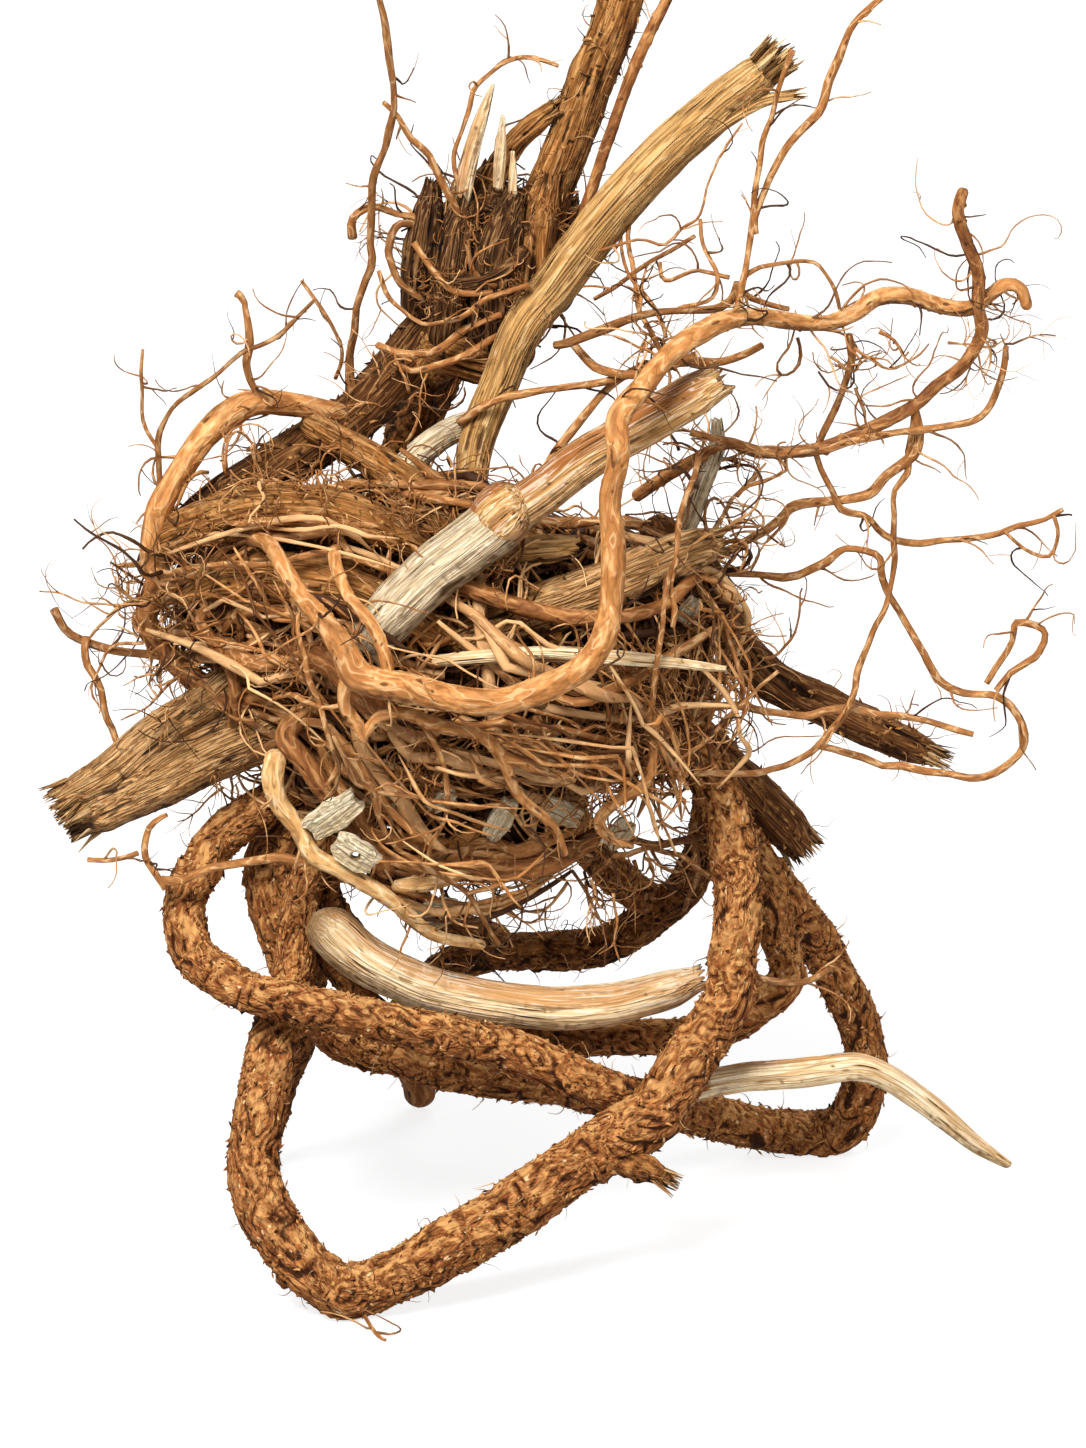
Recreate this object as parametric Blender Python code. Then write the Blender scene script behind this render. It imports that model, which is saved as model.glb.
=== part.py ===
"""Dry root: a dug-up root ball, its looping roots, stem stumps and crown grown as one solid.

Metres, +Z up. The row's origin is the middle of the footprint, on the floor.
"""
import math
import random

import bmesh
import bpy
from mathutils import Matrix, Vector

# ---------------------------------------------------------------- driving dimensions
MM = 0.001
TILT = math.radians(20.0)      # the heights below are measured square to a line tilted by this
STEP = 8.0                     # length of a piece of tube along a root, mm
WAVE = 0.05                    # how much a root swells and narrows along its length

BARK = (0.33, 0.15, 0.055)
PEELED = (0.80, 0.66, 0.43)
CHIP = (0.66, 0.59, 0.47)

# ---------------------------------------------------------------- set-out
# Each point is (across, up, back, radius) in mm: across from the middle, up square to the tilted
# line from the front foot, back along the floor from the front foot.

FRONT_LOOP = [
    (-50, 66, 34, 4.6), (-53, 58, 28, 4.9), (-56, 41, 18, 5.0), (-58, 30, 12, 5.2), (-55.5, 20, 6, 5.6),
    (-49, 11, 2, 5.3), (-41, 4.8, 0, 5.3), (-36, 4.4, 0.5, 5.3), (-29, 6.6, 1.5, 5.4), (-19, 13, 4, 5.6),
    (-9, 19, 8, 5.7), (3, 27, 13, 5.8), (15, 34, 17, 5.9), (24, 42, 20, 5.6), (31, 52, 25, 5.2),
    (37, 64, 29, 5.0), (39.5, 76, 34, 4.9), (39, 88, 40, 4.7), (36, 102, 47, 4.6), (29, 114, 53, 4.6),
    (18, 124, 56, 4.4),
]
FRONT_LOOP_TOP = [(-50, 66, 34, 4.6), (-49, 80, 40, 4.3), (-45, 94, 46, 4.2), (-38, 108, 50, 4.2)]
LEFT_LOOP = [
    (-48, 106, 48, 3.6), (-61, 97, 42, 4.0), (-68, 90, 38, 4.1), (-71.5, 81, 34, 4.1), (-69, 72, 28, 4.1),
    (-61, 65, 21, 4.1), (-51, 62, 17.5, 4.0), (-41, 60, 18, 4.0), (-29, 57, 20, 4.1), (-19, 55, 22, 4.2),
    (-9, 52.5, 25, 4.2), (3, 48, 27, 4.2), (13, 44, 29, 4.1), (22, 41, 31, 3.8), (28, 43, 32, 3.4),
]
TAIL = [
    (22, 41, 31, 3.6), (34, 45, 33, 2.8), (46, 46.5, 35, 2.9), (56, 47.5, 38, 2.9), (64, 48, 40, 2.8),
    (71, 45, 42, 2.6), (79, 39, 44, 2.4), (87, 32.5, 46, 1.9), (95, 27.5, 48, 0.8),
]
BACK_LOOP = [
    (-46, 104, 54, 3.6), (-55, 92, 52, 3.8), (-55, 80, 47, 3.9), (-50, 66, 41, 4.0), (-42, 54, 38, 4.0),
    (-29, 50, 39, 4.0), (-19, 47.5, 42, 4.0), (-9, 45.5, 46, 4.0), (3, 44, 52, 4.1), (15, 41, 59, 4.2),
    (29, 38.5, 69, 4.3), (39, 35.5, 77, 4.4), (50, 32.7, 84, 4.5), (59, 32.8, 84.8, 4.6), (65, 38, 83, 4.5),
    (66.5, 47, 82, 4.1), (65, 55, 80, 4.0), (61, 64, 76, 4.0), (55, 74, 72, 4.1), (48, 84, 67, 4.2),
    (38, 96, 62, 4.2),
]
BACK_ARC = [
    (24, 122, 66, 3.6), (33, 110, 76, 3.6), (34, 99, 84, 3.6), (31, 87, 90, 3.8), (24, 79, 94, 3.9), (14, 72.5, 96, 4.0), (3, 70, 96, 4.0),
    (-12, 69.5, 97, 3.9), (-22, 65, 100, 3.6), (-29, 57, 103, 3.2), (-30, 49, 105.5, 2.9),
    (-27, 43, 107, 3.0), (-25, 35.9, 107, 3.1),
]
BACK_STRUT = [(2, 116, 95, 3.6), (4, 104, 94, 3.7), (8, 94, 93, 3.8), (15, 86, 94, 3.8), (24, 79, 94, 3.6)]
INNER_LOOP = [
    (34, 98, 62, 3.4), (44, 85, 60, 3.6), (48.5, 73, 58, 3.7), (49, 65, 56, 3.7), (43, 59, 54, 3.8),
    (35, 55, 52, 3.8), (22, 53.5, 50, 3.6), (10, 53, 48, 3.4), (-4, 51, 45, 3.0),
]
RIGHT_STUMP = [(14, 128, 62, 4.4), (22, 124, 66, 4.4), (31, 114, 70, 4.6), (39, 106, 72, 4.7),
               (47, 98, 73, 4.7), (52.5, 92.5, 73, 4.2)]
RIGHT_BRANCH = [
    (20, 156, 64, 4.0), (31, 150, 68, 4.3), (35, 142, 70, 4.3), (39, 133, 71, 4.3), (47, 126, 72, 4.2),
    (57, 121, 72, 4.1), (67, 116, 72, 3.8), (75, 112.5, 71, 3.2), (80, 110.5, 70, 2.4),
]
STRANDS = [
    [(-46, 100, 44, 3.0), (-51, 88, 45, 3.0), (-45, 75, 44, 2.9), (-36, 62, 42, 2.7), (-26, 53, 41, 2.6)],
    [(-38, 98, 47, 3.0), (-44, 86, 46, 2.9), (-39, 75, 46, 2.9), (-30, 65, 46, 2.7), (-16, 58, 46, 2.6),
     (-2, 54, 44, 2.6), (10, 52, 42, 2.6)],
]
HIDDEN_FOOT = [
    (-36, 112, 58, 3.4), (-43, 96, 61, 3.5), (-47, 78, 64, 3.5), (-48, 58, 68, 3.3), (-53, 45, 72, 3.3), (-57, 35, 74, 3.4),
    (-59, 28.3, 75, 3.4), (-57.5, 27.2, 72, 3.3), (-56, 28, 68, 2.6),
]
CROSSING_ROOT = [
    (-14, 200, 86, 5.2), (-21, 196, 83, 5.6), (-29, 188, 79, 5.6), (-39, 178, 73, 5.6), (-49, 171, 67, 5.2),
    (-60, 164, 61, 4.8), (-70, 157, 56, 4.2), (-76, 150, 52, 3.2),
]
CROSSING_SIDE = [(-43, 175, 70, 2.6), (-35, 170, 64, 2.7), (-25, 160, 58, 2.6), (-18, 148, 52, 2.6)]
PALE_STEM = [
    (-34, 134, 30, 4.6), (-31, 138, 30, 5.1), (-23, 146, 31, 5.3), (-15, 152, 32, 5.3), (-8, 157.5, 33, 5.4),
    (0, 163, 34.5, 4.5), (11, 171, 36, 4.4), (24, 178.5, 38, 4.4), (34, 184.5, 40, 4.3),
]
STRAW_STEM = [
    (-15, 152, 54, 3.4), (-14.5, 162, 57, 3.2), (-13, 174, 61, 3.6), (-9, 185, 66, 3.9), (-4.5, 196, 69, 4.2),
    (2, 204, 71, 4.4), (12, 217, 72, 4.6), (23, 229, 73, 4.6), (35, 239.5, 74, 4.4), (48, 250, 75, 3.9),
]
STRAW_SPLIT = [(26, 229, 73, 1.8), (35, 237, 73, 1.7), (43, 241, 73, 1.5), (49.5, 241.5, 73, 1.0)]
TOP_STEM = [(-3, 212, 86, 5.0), (1, 223, 87, 4.9), (6.5, 236, 88, 4.8), (11.5, 250, 88, 4.8),
            (15.5, 262, 88, 4.7), (17.5, 269, 88, 4.5)]
TOP_ROD = [(-2, 208, 84, 1.2), (6, 214, 81, 1.2), (9.5, 223, 81, 1.2), (14, 237, 82, 1.1), (19.5, 251, 83, 1.1),
           (25, 262, 84, 1.1), (28, 270, 84, 1.0)]
BROKEN_STICK = [(-11, 214, 84, 2.2), (-10, 226, 85, 2.3), (-5, 234, 86, 2.3), (2.5, 240.5, 86, 2.0)]
PALE_SPLINTER = [(-16, 214, 80, 1.6), (-16, 224, 80, 1.5), (-12.5, 237, 79, 1.2), (-10, 244, 79, 0.8)]
LEFT_STUMP_UPPER = [(-50, 130, 46, 4.0), (-60, 127, 44, 4.3), (-72, 118.5, 41, 4.2), (-85, 108, 37, 4.1),
                    (-98.5, 101.5, 33, 3.4)]
LEFT_STUMP_LOWER = [(-44, 120, 46, 4.6), (-55, 114, 43, 5.4), (-69, 108, 40, 5.6), (-84, 101, 36, 5.4),
                    (-96, 96, 33, 4.2)]
FRONT_ROOT = [
    (-58, 155, 46, 2.4), (-57, 155, 36, 2.5), (-53, 151, 28, 2.6), (-49, 144, 21, 2.7), (-43, 138, 16, 2.8), (-39, 132, 13, 2.8),
    (-37, 126.5, 11, 2.8), (-29, 125, 9, 2.7), (-19, 123, 8, 2.7), (-9, 122, 8, 2.6), (-1, 123.5, 9, 2.6),
    (8, 128.5, 11, 2.5), (13, 138, 14, 2.4), (13.5, 154, 17, 2.3), (12.5, 168, 20, 2.3), (14, 177, 23, 2.3),
    (19, 183, 27, 2.3), (24, 188.5, 32, 2.2), (29, 193, 36, 2.1), (35, 196, 40, 2.0), (43, 197, 44, 1.8),
    (55, 196.5, 50, 1.7), (61, 198, 53, 1.8), (66, 201.5, 55, 1.7), (72, 202, 57, 1.7), (79, 200, 59, 1.6),
    (85, 200, 60, 1.6), (88.5, 202, 61, 1.5), (91.5, 204, 62, 1.5), (94.5, 203, 62, 1.4), (96, 199, 62, 1.3),
]
FRONT_ROOT_BRANCH = [
    (-36, 128, 11.5, 1.6), (-38.5, 120, 12, 1.7), (-35, 114.5, 13, 1.7), (-29, 117.5, 13, 1.7), (-19, 116, 13, 1.6),
    (-11, 112.5, 15, 1.6), (-7, 104, 19, 1.5), (-1, 96, 26, 1.2),
]
FRONT_ROOT_TWIN = [(-44, 154, 40, 1.3), (-41, 150, 27, 1.3), (-39.5, 144, 20, 1.3), (-33, 138, 17, 1.3),
                   (-29, 125, 9, 1.3)]
LEFT_ARC = [
    (-38, 179, 73, 2.2), (-45, 180, 66, 2.2), (-56, 180.5, 60, 2.3), (-62, 178.5, 57, 2.4), (-68, 174, 54, 2.4),
    (-73, 167, 51, 2.3), (-76, 158, 49, 2.2), (-77, 148, 48, 2.0), (-70, 138, 47, 2.0),
]
HANGING_ROOTS = [
    [(-38, 122, 44, 2.0), (-47, 118, 32, 2.0), (-53, 111, 26, 2.1), (-52, 102, 25, 2.0), (-47, 93, 23, 1.9), (-43, 88.5, 22, 1.8),
     (-35, 85, 22, 1.8), (-29, 80, 24, 1.7), (-21, 75, 28, 1.4), (-12, 73, 36, 1.2)],
    [(-34, 124, 42, 1.8), (-43, 121, 32, 1.8), (-50, 114, 30, 1.9), (-46, 106, 29, 1.9), (-40.5, 98, 28, 1.8), (-35, 93, 29, 1.8),
     (-26, 90, 32, 1.7)],
    [(-50, 146, 36, 1.6), (-61, 141, 40, 1.5), (-68, 138, 40, 1.4), (-63, 131, 38, 1.4), (-61, 124, 37, 1.3),
     (-62, 115, 39, 1.3)],
]
UPPER_RIGHT_ROOTLET = [
    (83, 222.5, 56, 1.1), (82, 218, 57, 1.2), (84, 212, 58, 1.3), (86, 206, 59, 1.3), (86, 200, 60, 1.3),
    (87, 195, 60, 1.3), (84, 189, 60, 1.3), (78, 184.5, 59, 1.3), (74, 181, 58, 1.3), (67, 177, 57, 1.4),
    (60, 174, 56, 1.4), (51, 171.5, 55, 1.3), (43, 171, 54, 1.2), (37, 173, 53, 1.2), (30, 170, 54, 1.2),
    (18, 162, 56, 1.2),
]
GREY_STEMS = [
    [(-36, 160, 58, 2.6), (-30, 166, 60, 2.8), (-21, 174, 63, 2.8), (-12.5, 178, 64, 2.7)],
    [(-14, 141, 44, 3.6), (-2, 147, 44, 4.0), (12, 150.5, 45, 4.0), (29, 151, 48, 3.6)],
    [(26, 150, 52, 1.8), (29.5, 158, 53, 1.8), (32, 165, 54, 1.9), (34.5, 172, 54, 1.8), (34.5, 178, 53, 1.4)],
    [(-26, 129, 38, 1.2), (-16, 130, 27, 1.3), (0, 131, 25, 1.4), (18, 130, 25, 1.4), (36, 128, 29, 1.0)],
]
REAR_ROOTS = [
    [(-12, 206, 92, 5.0), (-24, 184, 96, 5.0), (-30, 160, 98, 4.8), (-24, 138, 99, 4.6), (-8, 122, 98, 4.4),
     (10, 112, 92, 4.0)],
    [(-34, 152, 62, 3.6), (-42, 149, 72, 3.6), (-56, 140, 77, 3.8), (-62, 126, 75, 3.8), (-54, 113, 69, 3.6),
     (-38, 108, 60, 3.4)],
    [(4, 150, 76, 3.4), (20, 146, 84, 3.6), (28, 132, 88, 3.7), (24, 118, 88, 3.6), (14, 106, 82, 3.4)],
]

# The dense knots that the roots run into: (across, up, back, half-widths across / back / up), mm.
KNOTS = [
    (-11, 203, 86, 13, 11, 12),       # crown, lower half
    (-8, 215, 87, 12, 10, 12),        # crown, upper half
    (-16, 130, 56, 34, 27, 33),       # middle of the ball
    (-36, 118, 52, 22, 18, 22),
    (14, 132, 58, 20, 18, 25),
    (-56, 143, 50, 19, 15, 18),       # left shoulder
    (-30, 152, 54, 20, 15, 14),
    (-18, 100, 50, 22, 15, 12),       # underside, over the loops
]

WINDINGS = [0, 1, 6, 2, 2, 3, 1, 1]   # roots wound round each knot
SEED = 5

PEELED_LENGTH = [
    (-45.5, 79, 29.5, 4.2), (-41.5, 75, 29.5, 4.9), (-34.5, 69.5, 30, 4.7), (-23, 64.5, 32, 4.5),
    (-9, 61.5, 34, 4.4), (3, 60.3, 35.5, 4.4), (14, 61, 37.5, 4.2), (24, 63.5, 39.5, 3.9), (31, 66, 41, 3.3),
]
# Loose chips: middle (across, up, back), size (long, wide, thick), lean in the picture plane, tip back.
CHIPS = [
    ("wood_chip_left", (-41.5, 99, 20), (10.5, 5.0, 1.6), 38.0, 12.0),
    ("wood_chip_knot", (-37, 91.5, 18.5), (8.5, 5.5, 1.6), -35.0, 8.0),
    ("wood_chip_mid", (-8.5, 98, 30), (9.5, 4.6, 1.5), 62.0, 10.0),
]
KNOT_HOLE = 0.9                # radius of the hole through wood_chip_knot, mm


def place(across, up, back):
    """A set-out point in the tilted measure, as a level point in mm, before it is centred."""
    return Vector((across, back, (up - back * math.sin(TILT)) / math.cos(TILT)))


def blend(a, b, c, d, t):
    """Catmull-Rom between b and c."""
    return tuple(
        0.5 * (2 * q + (r - p) * t + (2 * p - 5 * q + 4 * r - s) * t * t + (3 * q - p - 3 * r + s) * t ** 3)
        for p, q, r, s in zip(a, b, c, d))


def smooth(points, step):
    """Points about a step apart on a smooth line through the given points."""
    solid = [(*place(*p[:3]), p[3]) for p in points]
    ends = [solid[0]] + solid + [solid[-1]]
    line = []
    for a, b, c, d in zip(ends, ends[1:], ends[2:], ends[3:]):
        length = (Vector(c[:3]) - Vector(b[:3])).length
        count = max(1, round(length / step))
        line += [blend(a, b, c, d, i / count) for i in range(count)]
    return line + [solid[-1]]


def material(name, colour, roughness):
    mat = bpy.data.materials.new(name)
    mat.use_nodes = True
    shader = mat.node_tree.nodes["Principled BSDF"]
    shader.inputs["Base Color"].default_value = (*colour, 1.0)
    shader.inputs["Roughness"].default_value = roughness
    shader.inputs["Metallic"].default_value = 0.0
    return mat


def tube(name, points, collection, step=STEP, sides=2):
    """A round root along the points, as a closed mesh."""
    line = smooth(points, step)
    curve = bpy.data.curves.new(name, "CURVE")
    curve.dimensions = "3D"
    curve.twist_mode = "MINIMUM"
    curve.bevel_depth = MM
    curve.bevel_resolution = sides
    curve.use_fill_caps = True
    spline = curve.splines.new("POLY")
    spline.points.add(len(line) - 1)
    for i, (x, y, z, r) in enumerate(line):
        spline.points[i].co = (x * MM, y * MM, z * MM, 1)
        swell = 0 if i in (0, len(line) - 1) else WAVE * math.sin(1.9 * i + len(points))
        spline.points[i].radius = r * (1 + swell)
    obj = bpy.data.objects.new(name, curve)
    collection.objects.link(obj)
    mesh = bpy.data.meshes.new_from_object(obj.evaluated_get(bpy.context.evaluated_depsgraph_get()))
    bpy.data.objects.remove(obj)
    obj = bpy.data.objects.new(name, mesh)
    collection.objects.link(obj)
    tidy(obj)
    return obj


def knot(name, across, up, back, wide, deep, high, collection):
    """A lumpy rounded mass of fine roots."""
    bm = bmesh.new()
    bmesh.ops.create_icosphere(bm, subdivisions=2, radius=1)
    for v in bm.verts:
        x, y, z = v.co
        lump = 1 + 0.07 * math.sin(5 * x + across) * math.cos(4 * y + up) + 0.05 * math.sin(6 * z + back)
        v.co = Vector((x * wide, y * deep, z * high)) * lump
        v.co = (v.co + place(across, up, back)) * MM
    mesh = bpy.data.meshes.new(name)
    bm.to_mesh(mesh)
    bm.free()
    obj = bpy.data.objects.new(name, mesh)
    collection.objects.link(obj)
    return obj


def winding(across, up, back, wide, deep, high, chance):
    """Set-out points of a root that winds part of the way round a knot, half sunk in it."""
    pole = Vector((chance.uniform(-1, 1), chance.uniform(-1, 1), chance.uniform(-0.6, 0.6))).normalized()
    side = pole.orthogonal().normalized()
    other = pole.cross(side)
    start, turn = chance.uniform(0, math.tau), chance.uniform(2.4, 4.2)
    thick, sway = chance.uniform(1.7, 2.9), chance.uniform(0.15, 0.4)
    points = []
    for i in range(9):
        angle = start + turn * i / 8
        out = side * math.cos(angle) + other * math.sin(angle) + pole * sway * math.sin(2.2 * angle)
        out.normalize()
        x, y, z = out.x * wide, out.y * deep, out.z * high
        points.append((across + x, up + z * math.cos(TILT) + y * math.sin(TILT), back + y,
                       thick * (0.7 if i in (0, 8) else 1)))
    return points


def tidy(obj):
    """Welds doubled points and turns the faces out."""
    bm = bmesh.new()
    bm.from_mesh(obj.data)
    bmesh.ops.remove_doubles(bm, verts=bm.verts, dist=0.00005)
    bmesh.ops.recalc_face_normals(bm, faces=bm.faces)
    bm.to_mesh(obj.data)
    bm.free()


def boolean(obj, other, operation, solver="EXACT"):
    """Applies one Boolean and leaves the other object in the cutters collection."""
    mod = obj.modifiers.new(operation, "BOOLEAN")
    mod.operation = operation
    mod.object = other
    mod.solver = solver
    mesh = bpy.data.meshes.new_from_object(obj.evaluated_get(bpy.context.evaluated_depsgraph_get()))
    obj.modifiers.clear()
    obj.data = mesh


def keep_outer_skin(obj):
    """Keeps the largest shell and drops the closed pockets that crossing roots trap inside it."""
    bm = bmesh.new()
    bm.from_mesh(obj.data)
    seen, shells = set(), []
    for start in bm.faces:
        if start in seen:
            continue
        shell, queue = [], [start]
        seen.add(start)
        while queue:
            face = queue.pop()
            shell.append(face)
            for edge in face.edges:
                for other in edge.link_faces if len(edge.link_faces) == 2 else ():
                    if other not in seen:
                        seen.add(other)
                        queue.append(other)
        shells.append(shell)
    shells.sort(key=len, reverse=True)
    sizes = [len(shell) for shell in shells]
    for shell in shells[1:]:
        bmesh.ops.delete(bm, geom=shell, context="FACES")
    bm.to_mesh(obj.data)
    bm.free()
    return sizes


# ---------------------------------------------------------------- clear and set up
for old in list(bpy.data.objects):
    bpy.data.objects.remove(old, do_unlink=True)

parts = bpy.data.collections.new("dry_root_object")
work = bpy.data.collections.new("cutters")
bpy.context.scene.collection.children.link(parts)
bpy.context.scene.collection.children.link(work)

# ---------------------------------------------------------------- the grown solid
thick = [
    FRONT_LOOP, FRONT_LOOP_TOP, LEFT_LOOP, BACK_LOOP, BACK_ARC, BACK_STRUT, INNER_LOOP, RIGHT_STUMP,
    RIGHT_BRANCH, CROSSING_ROOT, PALE_STEM, STRAW_STEM, TOP_STEM, LEFT_STUMP_UPPER, LEFT_STUMP_LOWER,
    *STRANDS, HIDDEN_FOOT, *REAR_ROOTS,
]
thin = [
    TAIL, CROSSING_SIDE, STRAW_SPLIT, TOP_ROD, BROKEN_STICK, PALE_SPLINTER, FRONT_ROOT, FRONT_ROOT_BRANCH,
    FRONT_ROOT_TWIN, LEFT_ARC, *HANGING_ROOTS, UPPER_RIGHT_ROOTLET, *GREY_STEMS,
]
members = [knot(f"knot_{i}", *k, work) for i, k in enumerate(KNOTS)]
members += [tube(f"thick_{i}", p, work) for i, p in enumerate(thick)]
members += [tube(f"thin_{i}", p, work, step=6.5, sides=1) for i, p in enumerate(thin)]
chance = random.Random(SEED)
for k, count in zip(KNOTS, WINDINGS):
    for i in range(count):
        members.append(tube(f"winding_{len(members)}", winding(*k, chance), work, sides=1))

root = bpy.data.objects.new("dry_root", members[0].data.copy())
parts.objects.link(root)
for member in members[1:]:
    boolean(root, member, "UNION", "MANIFOLD")

# The undersides that stand on the floor are worn flat.
low = min(v.co.z for v in root.data.vertices)
floor_mesh = bpy.data.meshes.new("floor_cutter")
bm = bmesh.new()
bmesh.ops.create_cube(bm, size=1, matrix=Matrix.Diagonal((0.4, 0.4, 0.02, 1)))
bm.to_mesh(floor_mesh)
bm.free()
floor_cutter = bpy.data.objects.new("floor_cutter", floor_mesh)
work.objects.link(floor_cutter)
floor_mesh.transform(Matrix.Translation((0, 0.05, -0.01)))
boolean(root, floor_cutter, "DIFFERENCE", "MANIFOLD")
keep_outer_skin(root)
tidy(root)
shells = keep_outer_skin(root)

# ---------------------------------------------------------------- the loose pieces
peeled = tube("peeled_length", PEELED_LENGTH, parts)
chips = []
for name, middle, (long, wide, thin_), lean, tip in CHIPS:
    bm = bmesh.new()
    bmesh.ops.create_cube(bm, size=1, matrix=Matrix.Diagonal((long, thin_, wide, 1)))
    bmesh.ops.subdivide_edges(bm, edges=[e for e in bm.edges if abs((e.verts[0].co - e.verts[1].co).x) > 1],
                              cuts=3)
    for v in bm.verts:                                   # a chip narrows to its ends and is slightly cupped
        run = 2 * v.co.x / long
        v.co.z *= 1 - 0.35 * run * run
        v.co.y += 0.8 * run * run
    turn = Matrix.Rotation(math.radians(tip), 4, "X") @ Matrix.Rotation(math.radians(-lean), 4, "Y")
    bm.transform(Matrix.Scale(MM, 4) @ Matrix.Translation(place(*middle)) @ turn)
    mesh = bpy.data.meshes.new(name)
    bmesh.ops.recalc_face_normals(bm, faces=bm.faces)
    bm.to_mesh(mesh)
    bm.free()
    chip = bpy.data.objects.new(name, mesh)
    parts.objects.link(chip)
    chips.append(chip)
    if name == "wood_chip_knot":
        bm = bmesh.new()
        hole = Matrix.Scale(MM, 4) @ Matrix.Translation(place(*middle)) @ turn \
            @ Matrix.Rotation(math.radians(90), 4, "X")
        bmesh.ops.create_cone(bm, segments=10, radius1=KNOT_HOLE, radius2=KNOT_HOLE, depth=6, cap_ends=True,
                              matrix=hole)
        mesh = bpy.data.meshes.new("knot_hole_cutter")
        bmesh.ops.recalc_face_normals(bm, faces=bm.faces)
        bm.to_mesh(mesh)
        bm.free()
        cutter = bpy.data.objects.new("knot_hole_cutter", mesh)
        work.objects.link(cutter)
        boolean(chip, cutter, "DIFFERENCE", "MANIFOLD")
        tidy(chip)

# ---------------------------------------------------------------- centre the footprint, floor at zero
corners = [v.co for o in parts.objects for v in o.data.vertices]
middle_x = (min(c.x for c in corners) + max(c.x for c in corners)) / 2
middle_y = (min(c.y for c in corners) + max(c.y for c in corners)) / 2
for obj in parts.objects:
    obj.data.transform(Matrix.Translation((-middle_x, -middle_y, 0)))

finishes = {
    "dry_root": material("bark", BARK, 0.85),
    "peeled_length": material("peeled_wood", PEELED, 0.7),
}
chip_finish = material("chip_wood", CHIP, 0.75)
for obj in parts.objects:
    obj.data.materials.clear()
    obj.data.materials.append(finishes.get(obj.name, chip_finish))

for obj in work.objects:
    obj.hide_render = True
    obj.display_type = "WIRE"

print("shells", shells, "middle mm", round(middle_x / MM, 3), round(middle_y / MM, 3))
for obj in parts.objects:
    print(obj.name, "faces", sum(len(p.vertices) - 2 for p in obj.data.polygons))
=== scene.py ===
import math
import random

import bpy
import numpy as np
from mathutils import Matrix, Vector


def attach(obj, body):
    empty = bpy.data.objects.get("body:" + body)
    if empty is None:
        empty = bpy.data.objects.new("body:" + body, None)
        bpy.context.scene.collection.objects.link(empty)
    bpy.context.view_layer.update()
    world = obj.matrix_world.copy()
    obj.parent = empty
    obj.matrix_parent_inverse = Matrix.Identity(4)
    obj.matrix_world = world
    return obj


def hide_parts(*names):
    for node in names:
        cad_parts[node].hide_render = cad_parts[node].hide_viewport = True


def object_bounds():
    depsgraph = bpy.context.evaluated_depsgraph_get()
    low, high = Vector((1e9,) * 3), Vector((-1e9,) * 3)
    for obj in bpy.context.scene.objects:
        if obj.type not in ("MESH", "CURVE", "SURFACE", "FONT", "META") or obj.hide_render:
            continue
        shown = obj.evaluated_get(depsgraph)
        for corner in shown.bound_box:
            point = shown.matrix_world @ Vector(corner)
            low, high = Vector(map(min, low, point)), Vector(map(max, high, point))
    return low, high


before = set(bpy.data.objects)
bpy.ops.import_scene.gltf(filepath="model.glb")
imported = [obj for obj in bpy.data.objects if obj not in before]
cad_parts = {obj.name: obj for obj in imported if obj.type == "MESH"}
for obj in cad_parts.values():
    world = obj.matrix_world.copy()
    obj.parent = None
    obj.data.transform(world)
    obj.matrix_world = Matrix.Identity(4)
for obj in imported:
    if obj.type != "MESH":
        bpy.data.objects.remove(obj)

cadBox = [list(corner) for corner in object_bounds()]
bpy.ops.object.select_all(action="DESELECT")

# Set-out in mm: across from the middle, up square to a line tilted back by tilt, back from the front foot.
mm = 0.001
tilt = math.radians(20)
centreShift = (1.427, -52.36)  # brings the set-out to the frame's origin, under the middle of the root
floorGap = 0.05  # the lowest that any piece lies, mm
sideRoom = 9  # how far strands may reach out of the frame's box, mm
depthShading = 3.4  # painted shade and light: how fast wrapping roots get darker deeper in the mass and lighter outwards
grainShift = 13.7  # how far apart the grain of two pieces is taken, mm
strandShift = 7.3  # the same for two strands of one piece, mm
bendLength = 9  # from one small bend of a root to the next, mm
chance = random.Random(42)
surfaces = {}  # the rings of each grown root, for what is later put on its skin
print("frame loaded, box", cadBox)


def place(across, up, back):
    return Vector((across + centreShift[0], back + centreShift[1],
                   (up - back * math.sin(tilt)) / math.cos(tilt)))


def anyWay(spread=1.0):  # a random step
    return np.array([chance.gauss(0, spread) for axis in range(3)])


def unit(vector):
    return vector / (np.linalg.norm(vector) + 1e-9)


# Growing a root: a line through points, rings round it, bark on the rings

def smoothLine(points, step):  # points about a step apart, with radii, on a smooth line
    solid = [(*place(*p[:3]), p[3]) for p in points]
    solid = np.array([solid[0]] + solid + [solid[-1]], float)
    line = []
    for a, b, c, d in zip(solid, solid[1:], solid[2:], solid[3:]):
        count = max(1, round(np.linalg.norm(c[:3] - b[:3]) / step))
        t = (np.arange(count) / count)[:, None]
        line.append(0.5 * (2 * b + (c - a) * t + (2 * a - 5 * b + 4 * c - d) * t * t
                           + (3 * b - a - 3 * c + d) * t ** 3))
    line.append(solid[-1:])
    return np.vstack(line)


def travelFrames(centres):  # two directions square to the line at each point, without twist
    along = np.gradient(centres, axis=0)
    along /= np.linalg.norm(along, axis=1)[:, None] + 1e-9
    first = np.cross(along[0], (0.3, 0.5, 0.81))
    first /= np.linalg.norm(first)
    sides = [first]
    for direction in along[1:]:
        side = sides[-1] - direction * np.dot(sides[-1], direction)
        sides.append(side / (np.linalg.norm(side) + 1e-9))
    sides = np.array(sides)
    return along, sides, np.cross(along, sides)


def lengthsAlong(centres):
    return np.concatenate([[0], np.cumsum(np.linalg.norm(np.diff(centres, axis=0), axis=1))])


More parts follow.
